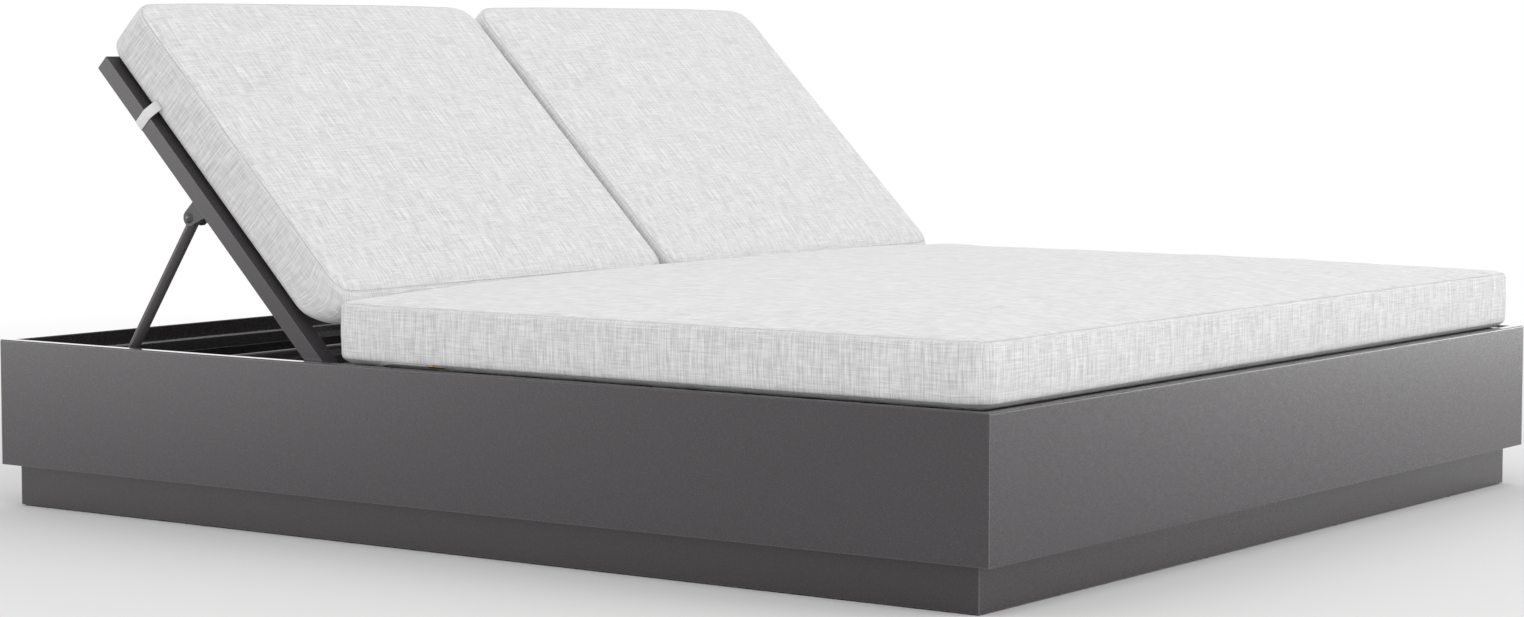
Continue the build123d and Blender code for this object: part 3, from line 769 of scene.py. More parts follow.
@dataclass
class Wardrobe:
    """All finishes of the lounger, by the material slot that they dress.

    Attributes:
        effects: The shared shader groups.
        made: The finished materials by slot.
    """

    effects: Effects = field(default_factory=Effects)
    made: dict = field(default_factory=dict)

    def build(self) -> None:
        """Make each slot's material once."""
        plan = {
            "frame_panels": PowderCoat("panel coat", (63, 59, 62), specks=0.12),
            "plinth": PowderCoat("plinth coat", (58, 54, 56), specks=0.12),
            # Strong painted highlight on the edges and, with no mirror, a diffuse painted sheen at low
            # angles, so the ledge's top edge reads as a bright line.
            "inner_frame": PowderCoat("inner frame coat", (64, 62, 63), edge_gleam=0.7, mirror=0.0),
            "deck": PowderCoat("slat coat", (64, 62, 63)),
            "back_frame": PowderCoat("backrest coat", (67, 63, 66), gloss=0.2),
            # Painted light: the bars carry the same charcoal coat as the backrest but get a paler tint,
            # standing in for the light that they catch.
            "bars": PowderCoat("bar coat", (86, 84, 85), gloss=0.9),
            "props": PowderCoat("prop coat", (86, 82, 85), bump=0.0, gloss=0.15, edge_gleam=0.0, glance=0.0),
            "fittings": PowderCoat("fitting coat", (62, 60, 61), gloss=0.2),
            "pins": PlainMetal("dark plated steel", (86, 85, 87), 0.2, 0.01 * MM, metallic=0.9),
            "screws": PlainMetal("stainless steel", (170, 170, 170), 0.3, 0.02 * MM),
            "bushes": MouldedPlastic("sleeve plastic", (44, 44, 45), 0.55, 0.02 * MM),
            "glides": MouldedPlastic("glide plastic", (38, 38, 39), 0.5, 0.02 * MM),
            # Painted light: both covers are one fabric, and the seat's tint is a little paler than the backs'
            # to stand in for the light that each cover gets.
            "seat_fabric": SlubCloth("seat cloth", (253, 253, 253)),
            "back_fabric": SlubCloth("back cloth", (249, 249, 249), gathers=0.8),
            "strap_fabric": RibbedBand("strap elastic", (234, 233, 234), 0.85, 0.1 * MM),
            "zip_metal": PlainMetal("zip brass", (170, 148, 96), 0.35, 0.02 * MM, cloud=0.15),
            "zip_tape": RibbedBand("zip tape", (205, 205, 204), 0.85, 0.08 * MM, rib=0.8 * MM),
        }
        for slot, finish in plan.items():
            self.made[slot] = finish.make(self.effects)

    def dress_frame(self) -> None:
        """Give every node of the frame the finish of its slot."""
        for entry in frame["record"]["subparts"]:
            piece = frame["nodes"][entry["node"]]
            piece.data.materials.clear()
            piece.data.materials.append(self.made[entry["material_slot"]])

    def dress(self, piece: bpy.types.Object, slot: str) -> None:
        """Give a new piece the finish of a slot.

        Args:
            piece: The new piece.
            slot: Name of the material slot.
        """
        piece.data.materials.append(self.made[slot])


# Cushions

STUFFING = {"quality": 5, "mass": 0.3, "tension_stiffness": 20, "compression_stiffness": 20,
            "shear_stiffness": 8, "bending_stiffness": 2, "vertex_group_mass": "held",
            "use_pressure": True, "uniform_pressure_force": 4}
STUFFING_FRAMES = 20
HELD_SHARE = 0.6


@dataclass
class BoxedCushion:
    """A boxed foam cushion, drawn lying flat: X across, Y along, Z through it.

    Attributes:
        name: Name of the piece.
        node: The plain solid that it stands for.
        slot: Material slot of its cloth.
        near_x, far_x, near_y, far_y: Outermost places of its four sides.
        low, high: Heights of its underside and of the edge of its top.
        top_round, low_round: Radii of the top and bottom edges.
        plan_round: Radius of the upright corners.
        crown: How far the middle of the top stands above its edge.
        wall_bulge: How far the side walls swell out halfway up.
        spacing: Distance between grid lines.
        sideways: Share of the stuffing's push that the side walls take up.
        powers: How full the crown is towards the near and far side across, then along.
        end_bow: How far the far end's corners draw back from its middle.
        near_held: How far from its near end the stuffing pushes nothing towards that end.
        cap: The most that the stuffing may push the cloth.
        fill: How tightly it is filled.
        wall_rows, arc_rows: Rows of faces down the wall and round each edge.
        seam_hold: Share of the stuffing's push that the seams hold back.
        seam_reach: How far from a seam that fades.
        wave: Height of the soft waves of its top.
        to_world: From the flat drawing to its place at rest.
        shape: What else shapes it while it lies flat.
    """

    name: str
    node: str
    slot: str
    near_x: float
    far_x: float
    near_y: float
    far_y: float
    low: float
    high: float
    top_round: float
    low_round: float
    plan_round: float
    crown: float
    wall_bulge: float
    spacing: float
    sideways: float
    powers: tuple = (3.0, 3.0, 3.0, 3.0)
    end_bow: float = 0.0
    near_held: float = 0.0
    cap: float = 4 * MM
    fill: float = 0.9
    wall_rows: int = 6
    arc_rows: int = 3
    seam_hold: float = 0.7
    seam_reach: float = 14 * MM
    wave: float = 0.8 * MM
    to_world: Matrix = field(default_factory=Matrix)
    shape: Callable[[np.ndarray], np.ndarray] | None = None

    def half(self) -> np.ndarray:
        """Half the outer size across and along."""
        return np.array([self.far_x - self.near_x, self.far_y - self.near_y]) / 2

    def middle(self) -> np.ndarray:
        """The middle of the plan."""
        return np.array([self.far_x + self.near_x, self.far_y + self.near_y]) / 2

    def seam_inset(self) -> float:
        """How far the seams lie inside the outermost wall: at 45 degrees round the top edge."""
        return self.top_round * (1 - math.sqrt(0.5))

    def lines(self, half: float) -> tuple:
        """Places of the grid lines along one direction, and how far along the surface the seam lies.

        The lines are even along the surface: the first stretch at each end goes round the rest of
        the edge's arc, and the stretch between is straight.

        Args:
            half: Half the outer size in that direction.

        Returns:
            The places, and their distances to the seam along the surface.
        """
        arc = self.top_round * math.pi / 4
        reach = half - self.top_round + arc
        count = 2 * max(4, round(reach / self.spacing))
        along = np.linspace(-reach, reach, count + 1)
        to_edge = reach - np.abs(along)
        turn = math.pi / 4 + np.minimum(to_edge, arc) / self.top_round
        inset = self.top_round * (1 - np.cos(turn)) + np.maximum(to_edge - arc, 0)
        return np.sign(along) * (half - inset), to_edge

    def plan(self) -> tuple:
        """The plan of the grid, with its corners rounded.

        Where a point lies in a corner square of the side of the corner radius, its distances from the
        corner's centre are scaled by the larger of the two over the length of the two together, which
        turns the square's outline to a quarter circle.

        Returns:
            The places of the grid, their inset from the outer wall, their share of the crown and
            their distances from the seams.
        """
        half = self.half()
        line_x, edge_x = self.lines(half[0])
        line_y, edge_y = self.lines(half[1])
        x, y = np.meshgrid(line_x, line_y, indexing="ij")
        to_seam = np.stack(np.meshgrid(edge_x, edge_y, indexing="ij"), axis=-1)
        inset = np.minimum(half[0] - np.abs(x), half[1] - np.abs(y))
        seam = half - self.seam_inset()
        power_x = np.where(x < 0, self.powers[0], self.powers[1])
        power_y = np.where(y < 0, self.powers[2], self.powers[3])
        rise = (1 - (np.abs(x) / seam[0]) ** power_x) * (1 - (np.abs(y) / seam[1]) ** power_y)
        dx = np.abs(x) - (half[0] - self.plan_round)
        dy = np.abs(y) - (half[1] - self.plan_round)
        corner = (dx > 0) & (dy > 0)
        length = np.where(corner, np.hypot(dx, dy), 1.0)
        scale = np.where(corner, np.maximum(dx, dy) / length, 1.0)
        x = np.where(corner, np.sign(x) * (half[0] - self.plan_round + dx * scale), x)
        y = np.where(corner, np.sign(y) * (half[1] - self.plan_round + dy * scale), y)
        return np.stack([x, y], axis=-1), inset, rise, to_seam

    @staticmethod
    def ripple(points: np.ndarray) -> np.ndarray:
        """Broad soft waves of a face softened by use: two slanting sines and the product of two straight
        ones.

        Args:
            points: Points of the top, one row each.

        Returns:
            The height of the waves at each point, as a share.
        """
        x, y = points[:, 0], points[:, 1]
        slanting = np.sin(x * 31 + y * 17) + np.sin(y * 43 - x * 11 + 1.3)
        return (slanting + np.sin(x * 53 + 2.1) * np.sin(y * 29)) / 2

    @staticmethod
    def edge_drop(inset: np.ndarray, radius: float) -> np.ndarray:
        """How far a rounded edge has fallen at an inset from the wall: a quarter circle."""
        left = np.clip(radius - inset, 0, radius)
        return radius - np.sqrt(radius ** 2 - left ** 2)

    def outline(self, plan: np.ndarray) -> tuple:
        """The seam's ring round the plan, and the outward direction at each of its points.

        Outward is away from the middle of the nearest corner's arc, or square to a straight side.

        Args:
            plan: The places of the plan's grid.

        Returns:
            The ring of places and the outward directions, one row each.
        """
        ring = np.concatenate([plan[:-1, 0], plan[-1, :-1], plan[:0:-1, -1], plan[0, :0:-1]])
        from_corner = np.abs(ring) - (self.half() - self.plan_round)
        out = np.where(from_corner > 0.001 * MM, from_corner, 0.0) * np.sign(ring)
        return ring, out / np.linalg.norm(out, axis=1, keepdims=True)

    def band_profile(self) -> tuple:
        """Inset and height down the side band from the top seam to the bottom seam.

        It is the rest of the top edge's arc, a wall that swells by a half sine, and the bottom edge's
        arc up to the same inset as the top seam.

        Returns:
            Inset and height of each row of the band.
        """
        turn = np.linspace(math.pi / 4, 0, self.arc_rows + 1)
        top = np.stack([self.top_round * (1 - np.cos(turn)),
                        self.high - self.top_round * (1 - np.sin(turn))], axis=1)
        share = np.linspace(0, 1, self.wall_rows + 1)[1:-1]
        wall_top, wall_low = self.high - self.top_round, self.low + self.low_round
        wall = np.stack([-self.wall_bulge * np.sin(math.pi * share),
                         wall_top + (wall_low - wall_top) * share], axis=1)
        last = math.acos(1 - self.seam_inset() / self.low_round)
        turn = np.linspace(0, last, self.arc_rows + 1)
        foot = np.stack([self.low_round * (1 - np.cos(turn)),
                         self.low + self.low_round * (1 - np.sin(turn))], axis=1)
        return np.concatenate([top, wall, foot])

    def build(self) -> bpy.types.Object:
        """Make the closed cover: top, side band and underside, each on its own part of the cloth map.

        Returns:
            The cover, lying flat, before it is stuffed.
        """
        plan, inset, rise, to_seam = self.plan()
        rows, columns = plan.shape[:2]
        top_z = self.high - self.edge_drop(inset, self.top_round) + self.crown * rise
        low_z = self.low + self.edge_drop(inset, self.low_round)
        ring, out = self.outline(plan)
        profile = self.band_profile()
        band_xy = ring[None] + out[None] * (self.seam_inset() - profile[:, None, :1])
        band_z = np.broadcast_to(profile[:, None, 1:], band_xy.shape[:2] + (1,))
        band = np.concatenate([band_xy, band_z], axis=-1)
        top = np.concatenate([plan, top_z[..., None]], axis=-1).reshape(-1, 3)
        low = np.concatenate([plan, low_z[..., None]], axis=-1).reshape(-1, 3)
        count = len(ring)
        top_faces = grid_faces(rows, columns)
        low_faces = top_faces[:, ::-1] + len(top)
        band_faces = grid_faces(len(profile), count, closed=True) + len(top) + len(low)
        flat = plan.reshape(-1, 2)
        run = np.concatenate([[0], np.cumsum(np.linalg.norm(np.roll(ring, -1, axis=0) - ring, axis=1))])
        fall = np.concatenate([[0], np.cumsum(np.linalg.norm(np.diff(profile, axis=0), axis=1))])
        level, step = np.meshgrid(np.arange(len(profile) - 1), np.arange(count), indexing="ij")
        corners = np.stack([np.stack([run[step + right], fall[level + down]], axis=-1)
                            for right, down in ((0, 0), (1, 0), (1, 1), (0, 1))], axis=2).reshape(-1, 2)
        apart = 3.0
        cloth = np.concatenate([flat[top_faces].reshape(-1, 2),
                                flat[top_faces[:, ::-1]].reshape(-1, 2) + apart, corners + 2 * apart])
        below = np.minimum(corners[:, 1], fall[-1] - corners[:, 1])
        upper = self.edge_map(flat, to_seam.reshape(-1, 2), top_faces)
        lower = upper.reshape(-1, 4, 2)[:, ::-1].reshape(-1, 2)
        edge = np.concatenate([upper, lower, np.stack([corners[:, 0], -below], axis=-1)])
        top[:, 2] += self.wave * rise.ravel() * self.ripple(top)
        points = np.concatenate([top, low, band.reshape(-1, 3)])
        points[:, :2] += self.middle()
        points = self.bend(points)
        faces = np.concatenate([top_faces, low_faces, band_faces])
        piece = mesh_piece(self.name, points, faces, {"cloth": cloth, "edge": edge})
        tidy(piece, 0.05 * MM)
        return piece

    @staticmethod
    def edge_map(flat: np.ndarray, to_seam: np.ndarray, faces: np.ndarray) -> np.ndarray:
        """For each corner of the faces, its place along the nearest seam and its distance from it.

        Args:
            flat: Places of the grid's points.
            to_seam: Distances of the points to the seams across and along.
            faces: Point numbers, one row for each face.

        Returns:
            The two values for each corner of each face, one row each.
        """
        centre = to_seam[faces].mean(axis=1)
        beside_x = (centre[:, 0] < centre[:, 1])[:, None]
        along = np.where(beside_x, flat[faces][..., 1], flat[faces][..., 0])
        away = np.where(beside_x, to_seam[faces][..., 0], to_seam[faces][..., 1])
        return np.stack([along, away], axis=-1).reshape(-1, 2)

    def bend(self, points: np.ndarray) -> np.ndarray:
        """Draw the far end's corners back, then apply the cushion's own shape.

        The shift grows with the fourth power of the place across and with the square of the place along.

        Args:
            points: Points of the cushion lying flat, one row each.

        Returns:
            The points after both.
        """
        half, middle = self.half(), self.middle()
        across = (points[:, 0] - middle[0]) / half[0]
        along = (points[:, 1] - middle[1]) / half[1]
        points = points.copy()
        points[:, 1] -= np.where(along > 0, self.end_bow, 0.0) * across ** 4 * along ** 2
        return points if self.shape is None else self.shape(points)

    def stuff(self, piece: bpy.types.Object) -> None:
        """Blow the cover up like foam in a tight cloth, its underside held, and cap how far it moves.

        A push p becomes p times the cap over the root of the cap squared plus the length of p squared.

        Args:
            piece: The cover, whose points are moved.
        """
        start = read_points(piece.data)
        held = np.flatnonzero(start[:, 2] < self.low + self.low_round * HELD_SHARE)
        group = piece.vertex_groups.new(name="held")
        group.add(held.tolist(), 1.0, "REPLACE")
        cloth = piece.modifiers.new("cloth", "CLOTH")
        for setting, value in STUFFING.items():
            setattr(cloth.settings, setting, value)
        cloth.settings.effector_weights.gravity = 0
        cloth.point_cache.frame_start, cloth.point_cache.frame_end = 1, STUFFING_FRAMES
        scene = bpy.context.scene
        for number in range(1, STUFFING_FRAMES + 1):
            scene.frame_set(number)
        shown = piece.evaluated_get(bpy.context.evaluated_depsgraph_get())
        push = read_points(shown.data) - start
        piece.modifiers.remove(cloth)
        scene.frame_set(1)
        piece.vertex_groups.clear()
        far = np.linalg.norm(push, axis=1, keepdims=True)
        log.info("%s stuffed: mean %.1f mm, most %.1f mm before the cap", self.name,
                 far.mean() / MM, far.max() / MM)
        push = push * self.cap / np.sqrt(self.cap ** 2 + far ** 2)
        push[:, :2] *= self.sideways
        near_end = start[:, 1] < self.near_y + self.near_held
        push[near_end, 1] = np.maximum(push[near_end, 1], 0)
        write_points(piece.data, start + push * (1 - self.pinch(piece)))

    def pinch(self, piece: bpy.types.Object) -> np.ndarray:
        """How much the seams hold each point back: a bell curve of its distance from the nearest seam.

        Args:
            piece: The cover with its edge map.

        Returns:
            Share of the push that each point keeps back, one row each.
        """
        mesh = piece.data
        flat = np.empty(len(mesh.loops) * 2, dtype=np.float32)
        mesh.uv_layers["edge"].data.foreach_get("uv", flat)
        owner = np.empty(len(mesh.loops), dtype=np.int32)
        mesh.loops.foreach_get("vertex_index", owner)
        away = np.full(len(mesh.vertices), 1.0)
        np.minimum.at(away, owner, np.abs(flat.reshape(-1, 2)[:, 1]))
        return self.seam_hold * np.exp(-(away / self.seam_reach) ** 2)[:, None]

    @staticmethod
    def refine(piece: bpy.types.Object) -> None:
        """Split each face of the cover in four, smoothly.

        Args:
            piece: The cover, which gets a new mesh.
        """
        split = piece.modifiers.new("refine", "SUBSURF")
        split.levels = split.render_levels = 1
        split.uv_smooth = "NONE"
        fine = bpy.data.meshes.new_from_object(piece.evaluated_get(bpy.context.evaluated_depsgraph_get()))
        piece.modifiers.remove(split)
        piece.data = fine
        fine.polygons.foreach_set("use_smooth", np.full(len(fine.polygons), True))

    def make(self, wardrobe: Wardrobe, body: str) -> bpy.types.Object:
        """Build, stuff, refine, dress and place the cushion.

        Args:
            wardrobe: The finishes.
            body: The body that it rides on.

        Returns:
            The finished piece.
        """
        piece = self.build()
        self.stuff(piece)
        self.refine(piece)
        write_points(piece.data, moved(read_points(piece.data), self.to_world))
        wardrobe.dress(piece, self.slot)
        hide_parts(self.node)
        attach(piece, body)
        report(piece)
        return piece


@dataclass
class Backrest:
    """One reclining back: where it hinges, and the cushion on it.

    Attributes:
        side: Which half.
        hinge_y, hinge_z: Place of the hinge.
        recline: Angle above flat at rest, in degrees.
        low_end, high_end: Where the cushion starts and ends, measured up the back from the hinge.
        depth: Thickness of the cushion at its edge.
        rail_front: How far the rails' front face lies in front of the hinge.
        squeezed_shares: How far the seat presses the lower end back, at shares of the depth.
        squeeze_reach: How far up the back that fades.
        rail_half: Half the rails' width and depth.
        outer_inset: How far the cushion's outer side lies inside its solid.
        strap_place: Where the straps lie, up the back from the hinge.
        strap_width, strap_thickness: Size of the elastic.
        strap_gap: Clearance between elastic and rail.
        strap_rise: How far up the cushion's side a strap starts.
        strap_tuck: How far a strap's start lies inside the cushion's side.
        strap_bend: Reach of the rounding where a strap turns a corner.
        overhangs: How far the cushion's side stands out past each rail's outer face.
    """

    side: Side
    hinge_y: float = 282.7 * MM
    hinge_z: float = 278.3 * MM
    recline: float = 45.0
    low_end: float = 30 * MM
    high_end: float = 738 * MM
    depth: float = 100 * MM
    rail_front: float = 14.3 * MM
    squeezed_shares: tuple = ((0.0, 0.78), (0.17, 0.36), (0.46, 0.09), (0.60, 0.02), (0.72, 0.05),
                              (0.85, 0.17), (0.94, 0.27), (1.0, 0.38))
    squeeze_reach: float = 230 * MM
    rail_half: tuple = (17 * MM, 14 * MM)
    outer_inset: float = 4.5 * MM
    strap_place: float = 562 * MM
    strap_width: float = 20 * MM
    strap_thickness: float = 1.5 * MM
    strap_gap: float = 0.2 * MM
    strap_rise: float = 24 * MM
    strap_tuck: float = 3 * MM
    strap_bend: float = 2.5 * MM
    overhangs: tuple = (("outer", -8 * MM), ("inner", 4 * MM))

    def to_world(self) -> Matrix:
        """From the back drawn flat to its place at rest."""
        return (Matrix.Translation((0, self.hinge_y, self.hinge_z))
                @ Matrix.Rotation(math.radians(self.recline), 4, "X"))

    def squeeze(self, points: np.ndarray) -> np.ndarray:
        """Press the lower end against the seat cushion.

        The wall of the end follows the shares: at each share of the depth it stands back by a share
        of the depth, with straight runs smoothed between. The shift fades with the square of the
        distance from the end.

        Args:
            points: Points of the cushion lying flat, one row each.

        Returns:
            The points after it.
        """
        shares = np.array(self.squeezed_shares)
        depth = np.clip((points[:, 2] - self.rail_front) / self.depth, 0, 1)
        back = smooth_table(depth, shares[:, 0], shares[:, 1]) * self.depth
        fade = np.clip(1 - (points[:, 1] - self.low_end) / self.squeeze_reach, 0, 1) ** 2
        points = points.copy()
        points[:, 1] = np.maximum(points[:, 1], self.low_end) + back * fade
        return points

    def cushion(self) -> BoxedCushion:
        """The cushion of this back.

        Returns:
            The cushion, not yet made.
        """
        (near, *_), (far, *_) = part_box(f"back_{self.side.word}_cushion")
        if self.side is Side.LEFT:
            near += self.outer_inset
        else:
            far -= self.outer_inset
        return BoxedCushion(
            name=f"back_cushion_{self.side.word}", node=f"back_{self.side.word}_cushion", slot="back_fabric",
            near_x=near, far_x=far, near_y=self.low_end, far_y=self.high_end, low=self.rail_front,
            high=self.rail_front + self.depth, top_round=15 * MM, low_round=23 * MM, plan_round=48 * MM,
            crown=4 * MM, wall_bulge=1 * MM, spacing=12 * MM, sideways=0.5, end_bow=6 * MM,
            near_held=60 * MM, to_world=self.to_world(), shape=self.squeeze)

    def strap(self, rail: str, overhang: float) -> tuple:
        """One elastic strap, from the cushion's side over the rail's outer face and round its back.

        Args:
            rail: Which rail, outer or inner.
            overhang: How far the cushion's side stands out past the rail's outer face.

        Returns:
            The points at rest and the faces.
        """
        low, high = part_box(f"back_{self.side.word}_{rail}_rail")
        middle = (low[0] + high[0]) / 2
        outward = self.side.value if rail == "outer" else -self.side.value
        half, depth = self.rail_half
        off = self.strap_gap + self.strap_thickness / 2
        corners = np.array([(half + overhang - self.strap_tuck, depth + self.strap_rise),
                            (half + off, depth + 1 * MM), (half + off, -depth - off),
                            (-half - off, -depth - off), (-half - off, depth)])
        path = rounded(corners, self.strap_bend)
        ahead = np.gradient(path, axis=0)
        across = np.full(len(path), self.strap_place)
        drawn = np.stack([middle + outward * path[:, 0], across, path[:, 1]], axis=1)
        out = np.stack([outward * ahead[:, 1], 0 * across, -ahead[:, 0]], axis=1)
        points, faces = sweep(drawn, flat_section(self.strap_width, self.strap_thickness), out)
        return moved(points, self.to_world()), faces

    def add_straps(self, wardrobe: Wardrobe) -> None:
        """Make the straps that hold the cushion to its two rails, as one piece.

        Args:
            wardrobe: The finishes.
        """
        both = joined(*(self.strap(*each) for each in self.overhangs))
        piece = mesh_piece(f"straps_{self.side.word}", *both)
        tidy(piece, 0.01 * MM)
        wardrobe.dress(piece, "strap_fabric")
        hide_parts(f"back_{self.side.word}_straps")
        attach(piece, f"back_{self.side.word}")
        report(piece)

    def make(self, wardrobe: Wardrobe) -> None:
        """Make what this back carries."""
        self.cushion().make(wardrobe, f"back_{self.side.word}")
        self.add_straps(wardrobe)


def smooth_table(at: np.ndarray, places: np.ndarray, values: np.ndarray) -> np.ndarray:
    """Read a table of a few values with a smooth curve through them.

    The curve is a cubic between each two places, whose slope at a place is that of the chord from the
    place before to the place after it.

    Args:
        at: Where the table is read.
        places: Places of the table, rising.
        values: Value at each place.

    Returns:
        The value of the curve at each place asked for.
    """
    slopes = np.gradient(values, places)
    number = np.clip(np.searchsorted(places, at) - 1, 0, len(places) - 2)
    width = places[number + 1] - places[number]
    share = (at - places[number]) / width
    square, cube = share ** 2, share ** 3
    return ((2 * cube - 3 * square + 1) * values[number]
            + (cube - 2 * square + share) * width * slopes[number]
            + (3 * square - 2 * cube) * values[number + 1]
            + (cube - square) * width * slopes[number + 1])


@dataclass
class Seat:
    """The seat: one wide cushion on the deck, and the zip of its cover.

    Attributes:
        depth: Height of the cushion at its edge.
        crown: How far its middle stands above its edge.
        powers: How full the crown is to the left and right, then to the foot and rear.
    """

    depth: float = 103 * MM
    crown: float = 18 * MM
    powers: tuple = (2.4, 8.0, 2.5, 8.0)

    def lift_rear(self, points: np.ndarray) -> np.ndarray:
        """Keep the crown's height up to the rear end, where the backs press the cushion together.

        What the crown loses towards the rear, a power of the place along, is put back at the top and
        fades down the wall.

        Args:
            points: Points of the cushion lying flat, one row each.

        Returns:
            The points after it.
        """
        low, high = (np.array(corner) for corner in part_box("seat_cushion"))
        half, middle = (high - low) / 2, (high + low) / 2
        across = np.clip((points[:, 0] - middle[0]) / half[0], -1, 1)
        along = np.clip((points[:, 1] - middle[1]) / half[1], 0, 1)
        power = np.where(across < 0, self.powers[0], self.powers[1])
        height = np.clip((points[:, 2] - low[2]) / self.depth, 0, 1)
        points = points.copy()
        points[:, 2] += self.crown * (1 - np.abs(across) ** power) * along ** self.powers[3] * height
        return points

    def cushion(self) -> BoxedCushion:
        """The seat's cushion, over the space of its solid.

        Returns:
            The cushion, not yet made.
        """
        low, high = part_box("seat_cushion")
        return BoxedCushion(
            name="seat_cushion_cover", node="seat_cushion", slot="seat_fabric", near_x=low[0], far_x=high[0],
            near_y=low[1], far_y=high[1], low=low[2], high=low[2] + self.depth, top_round=13 * MM,
            low_round=22 * MM, plan_round=36 * MM, crown=self.crown, wall_bulge=2 * MM, spacing=15 * MM,
            sideways=0.6, powers=self.powers, shape=self.lift_rear)

    def make(self, wardrobe: Wardrobe) -> None:
        """Make the seat's cushion and its zip."""
        cover = self.cushion().make(wardrobe, "root")
        Zip().make(wardrobe, cover)


@dataclass
class Zip:
    """The zip of the seat's cover: its tape, its row of teeth, and the slider with its pull.

    It lies along a line of places on the cover, counted from the tip of the pull.

    Attributes:
        start, end: Where it starts on the left wall, and where it slips under the cushion.
        rise: Height over the cushion's underside.
        under: How far in, along and down it goes under the cushion.
        bend: Reach of the rounding where it turns under.
        step: Distance between two places of the line.
        pull_places, slider_places: First place of each, and the one after its last.
        tape, teeth, pull, slider: Width and thickness of each.
        tape_lift, teeth_lifts, pull_lift, slider_lift: How far each stands off the cover.
    """

    start: float = 8 * MM
    end: float = 135 * MM
    rise: float = 1 * MM
    under: tuple = (40 * MM, 50 * MM, 5 * MM)
    bend: float = 30 * MM
    step: float = 1.25 * MM
    pull_places: tuple = (0, 20)
    slider_places: tuple = (18, 27)
    tape: tuple = (9 * MM, 0.8 * MM)
    teeth: tuple = (3.4 * MM, 1.2 * MM)
    pull: tuple = (4.5 * MM, 1 * MM)
    slider: tuple = (7 * MM, 3 * MM)
    tape_lift: float = 0.3 * MM
    teeth_lifts: tuple = (1.5 * MM, 1.0 * MM)
    pull_lift: float = 2.4 * MM
    slider_lift: float = 1.6 * MM

    def line(self, cover: bpy.types.Object) -> tuple:
        """The zip's line on the finished cover, along the bottom of its left wall and then under it.

        Each place is the nearest one on the cover to a place of a guide.

        Args:
            cover: The finished cover of the seat.

        Returns:
            Places on the cover and the outward direction at each.
        """
        low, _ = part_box("seat_cushion")
        level = low[2] + self.rise
        corners = np.array([(low[0], self.start, level), (low[0], self.end, level),
                            (low[0] + self.under[0], self.end + self.under[1], low[2] - self.under[2])])
        guide = rounded(corners, self.bend, 12)
        run = np.concatenate([[0], np.cumsum(np.linalg.norm(np.diff(guide, axis=0), axis=1))])
        at = np.arange(0, run[-1], self.step)
        guide = np.stack([np.interp(at, run, guide[:, axis]) for axis in range(3)], axis=1)
        skin = BVHTree.FromPolygons(read_points(cover.data).tolist(),
                                    [tuple(face.vertices) for face in cover.data.polygons])
        found = [skin.find_nearest(place) for place in guide.tolist()]
        return np.array([hit[0] for hit in found]), np.array([hit[1] for hit in found])

    def make(self, wardrobe: Wardrobe, cover: bpy.types.Object) -> None:
        """Make the tape with its teeth as one piece, and the slider with its pull as another.

        Args:
            wardrobe: The finishes.
            cover: The finished cover of the seat.
        """
        places, out = self.line(cover)

        def strip(first: int, end: int | None, lift: object, size: tuple, steps: int = 3) -> tuple:
            """Sweep a flat section along part of the line, off the cover by a lift."""
            span = slice(first, end)
            return sweep(places[span] + out[span] * lift, flat_section(*size, steps), out[span])

        slider_start, slider_end = self.slider_places
        odd = np.arange(len(places[slider_end - 1:])) % 2
        teeth_lift = np.where(odd, *self.teeth_lifts)[:, None]
        cloth = joined(strip(slider_start, None, self.tape_lift, self.tape, 2),
                       strip(slider_end - 1, None, teeth_lift, self.teeth, 2))
        metal = joined(strip(*self.pull_places, self.pull_lift, self.pull),
                       strip(slider_start, slider_end, self.slider_lift, self.slider))
        for name, skin, slot in (("zip_tape", cloth, "zip_tape"), ("zip_slider", metal, "zip_metal")):
            piece = mesh_piece(name, *skin)
            tidy(piece, 0.01 * MM)
            wardrobe.dress(piece, slot)
            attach(piece, "root")
            report(piece)


# Studio

@dataclass(frozen=True)
class SoftLamp:
    """A rectangular soft lamp.

    Attributes:
        name: Name of the lamp.
        place: Where it hangs.
        aim: The point that it faces.
        size: Its width and height.
        power: Power in watts.
        only_reflected: Whether it only shows in reflections, like a reflector board.
    """

    name: str
    place: tuple
    aim: tuple
    size: tuple
    power: float
    only_reflected: bool = False

    def hang(self) -> None:
        """Put the lamp in the scene."""
        data = bpy.data.lights.new(self.name, "AREA")
        data.shape = "RECTANGLE"
        data.size, data.size_y = self.size
        data.energy = self.power
        lamp = bpy.data.objects.new(self.name, data)
        lamp.location = self.place
        lamp.rotation_mode = "QUATERNION"
        lamp.rotation_quaternion = (Vector(self.aim) - Vector(self.place)).to_track_quat("-Z", "Y")
        lamp.visible_diffuse = not self.only_reflected
        bpy.context.scene.collection.objects.link(lamp)


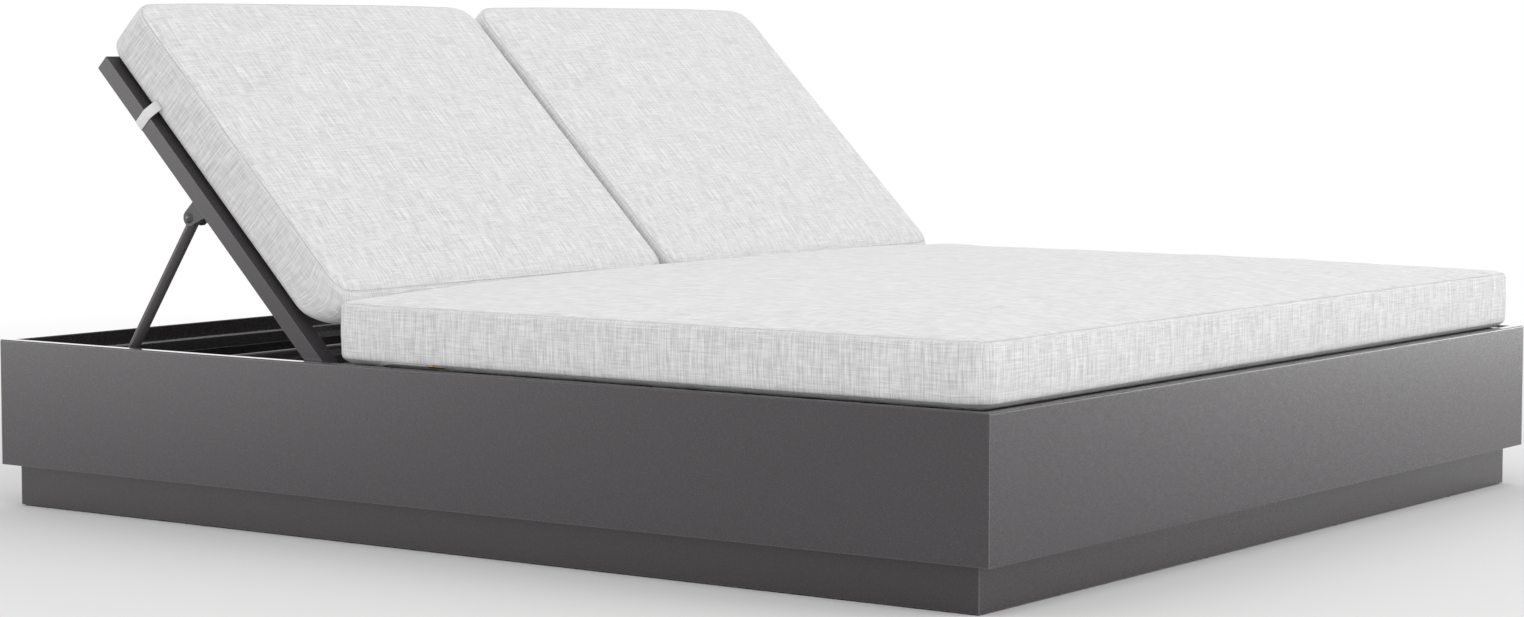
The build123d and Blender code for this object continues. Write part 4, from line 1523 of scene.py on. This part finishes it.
@dataclass(frozen=True)
class Studio:
    """Camera, floor, lamps and surroundings.

    Attributes:
        azimuth, elevation: Where the camera stands round the object, in degrees.
        place: The camera's place in metres.
        lens, sensor: Focal length and sensor width in millimetres.
        ambient: Strength of the surroundings as a light.
        floor_half: Half the size of the floor.
        fade: Distances between which the floor fades to white.
        lamps: The soft lamps.
    """

    azimuth: float = -54.0929
    elevation: float = 4.4827
    place: tuple = (-4.9387, -3.5362, 0.8092)
    lens: float = 80.72
    sensor: float = 36.0
    ambient: float = 0.97
    floor_half: float = 30.0
    fade: tuple = (1.6, 4.5)
    lamps: tuple = (
        SoftLamp("overhead lamp", (0, 0, 5), (0, 0, 0), (5, 5), 4.0),
        SoftLamp("front lamp", (1.5, -6, 2.5), (0, 0, 0.3), (3, 3), 60.0),
        SoftLamp("left board", (-4.5, 5, 1.0), (-0.9, 0.8, 0.2), (3, 2), 105.0, only_reflected=True),
        SoftLamp("right board", (6.5, -3.5, 1.0), (0.7, -1, 0.2), (3, 2), 175.0, only_reflected=True),
    )

    def add_camera(self) -> None:
        """Stand the camera where the photograph was taken from."""
        data = bpy.data.cameras.new("camera")
        data.lens, data.sensor_width, data.sensor_fit = self.lens, self.sensor, "HORIZONTAL"
        data.clip_end = 60.0
        camera = bpy.data.objects.new("camera", data)
        turn, rise = math.radians(self.azimuth), math.radians(self.elevation)
        back = Vector((math.sin(turn) * math.cos(rise), -math.cos(turn) * math.cos(rise), math.sin(rise)))
        camera.rotation_mode = "QUATERNION"
        camera.location = self.place
        camera.rotation_quaternion = (-back).to_track_quat("-Z", "Y")
        bpy.context.scene.collection.objects.link(camera)
        bpy.context.scene.camera = camera

    @staticmethod
    def seen(nodes: Nodes) -> bpy.types.NodeSocket:
        """One where the camera or a reflection looks, and nothing for other light."""
        path = nodes.add("ShaderNodeLightPath")
        return nodes.math("MAXIMUM", path.outputs["Is Camera Ray"], path.outputs["Is Glossy Ray"])

    def add_floor(self) -> None:
        """A pale floor that fades to white away from the lounger."""
        half = self.floor_half
        points = np.array([(-half, -half, 0), (half, -half, 0), (half, half, 0), (-half, half, 0)])
        floor = mesh_piece("floor", points, np.array([(0, 1, 2, 3)]), smooth=False)
        material = bpy.data.materials.new("floor")
        material.use_nodes = True
        nodes = Nodes(material.node_tree)
        place = nodes.add("ShaderNodeTexCoord").outputs["Object"]
        far = nodes.add("ShaderNodeVectorMath", {0: place}, operation="LENGTH").outputs["Value"]
        share = nodes.ramp(far, *self.fade)
        matte = nodes.add("ShaderNodeBsdfDiffuse", {"Color": (0.8, 0.8, 0.8, 1.0)})
        glow = nodes.add("ShaderNodeEmission", {"Color": (1.0, 1.0, 1.0, 1.0), "Strength": 1.0})
        both = nodes.add("ShaderNodeMixShader", {0: nodes.times(share, self.seen(nodes)),
                                                 1: matte.outputs[0], 2: glow.outputs[0]})
        output = nodes.add("ShaderNodeOutputMaterial")
        nodes.feed(both.outputs[0], output.inputs[0])
        floor.data.materials.append(material)

    def add_surroundings(self) -> None:
        """White where the camera and reflections look, and a plain level of light for the rest."""
        world = bpy.data.worlds.new("studio")
        bpy.context.scene.world = world
        world.use_nodes = True
        nodes = Nodes(world.node_tree)
        strength = nodes.ramp(self.seen(nodes), 0.0, 1.0, self.ambient, 1.0)
        light = nodes.add("ShaderNodeBackground", {"Color": (1.0, 1.0, 1.0, 1.0), "Strength": strength})
        output = nodes.add("ShaderNodeOutputWorld")
        nodes.feed(light.outputs[0], output.inputs[0])

    def build(self) -> None:
        """Make the whole studio."""
        bpy.context.scene.view_settings.view_transform = "Standard"
        self.add_camera()
        self.add_floor()
        self.add_surroundings()
        for lamp in self.lamps:
            lamp.hang()


def main() -> None:
    """Build the studio, dress the frame and make the soft pieces."""
    logging.basicConfig(level=logging.INFO, format="%(name)s %(message)s")
    Studio().build()
    wardrobe = Wardrobe()
    wardrobe.build()
    wardrobe.dress_frame()
    Seat().make(wardrobe)
    for side in Side:
        Backrest(side).make(wardrobe)


if __name__ == "__main__":
    main()
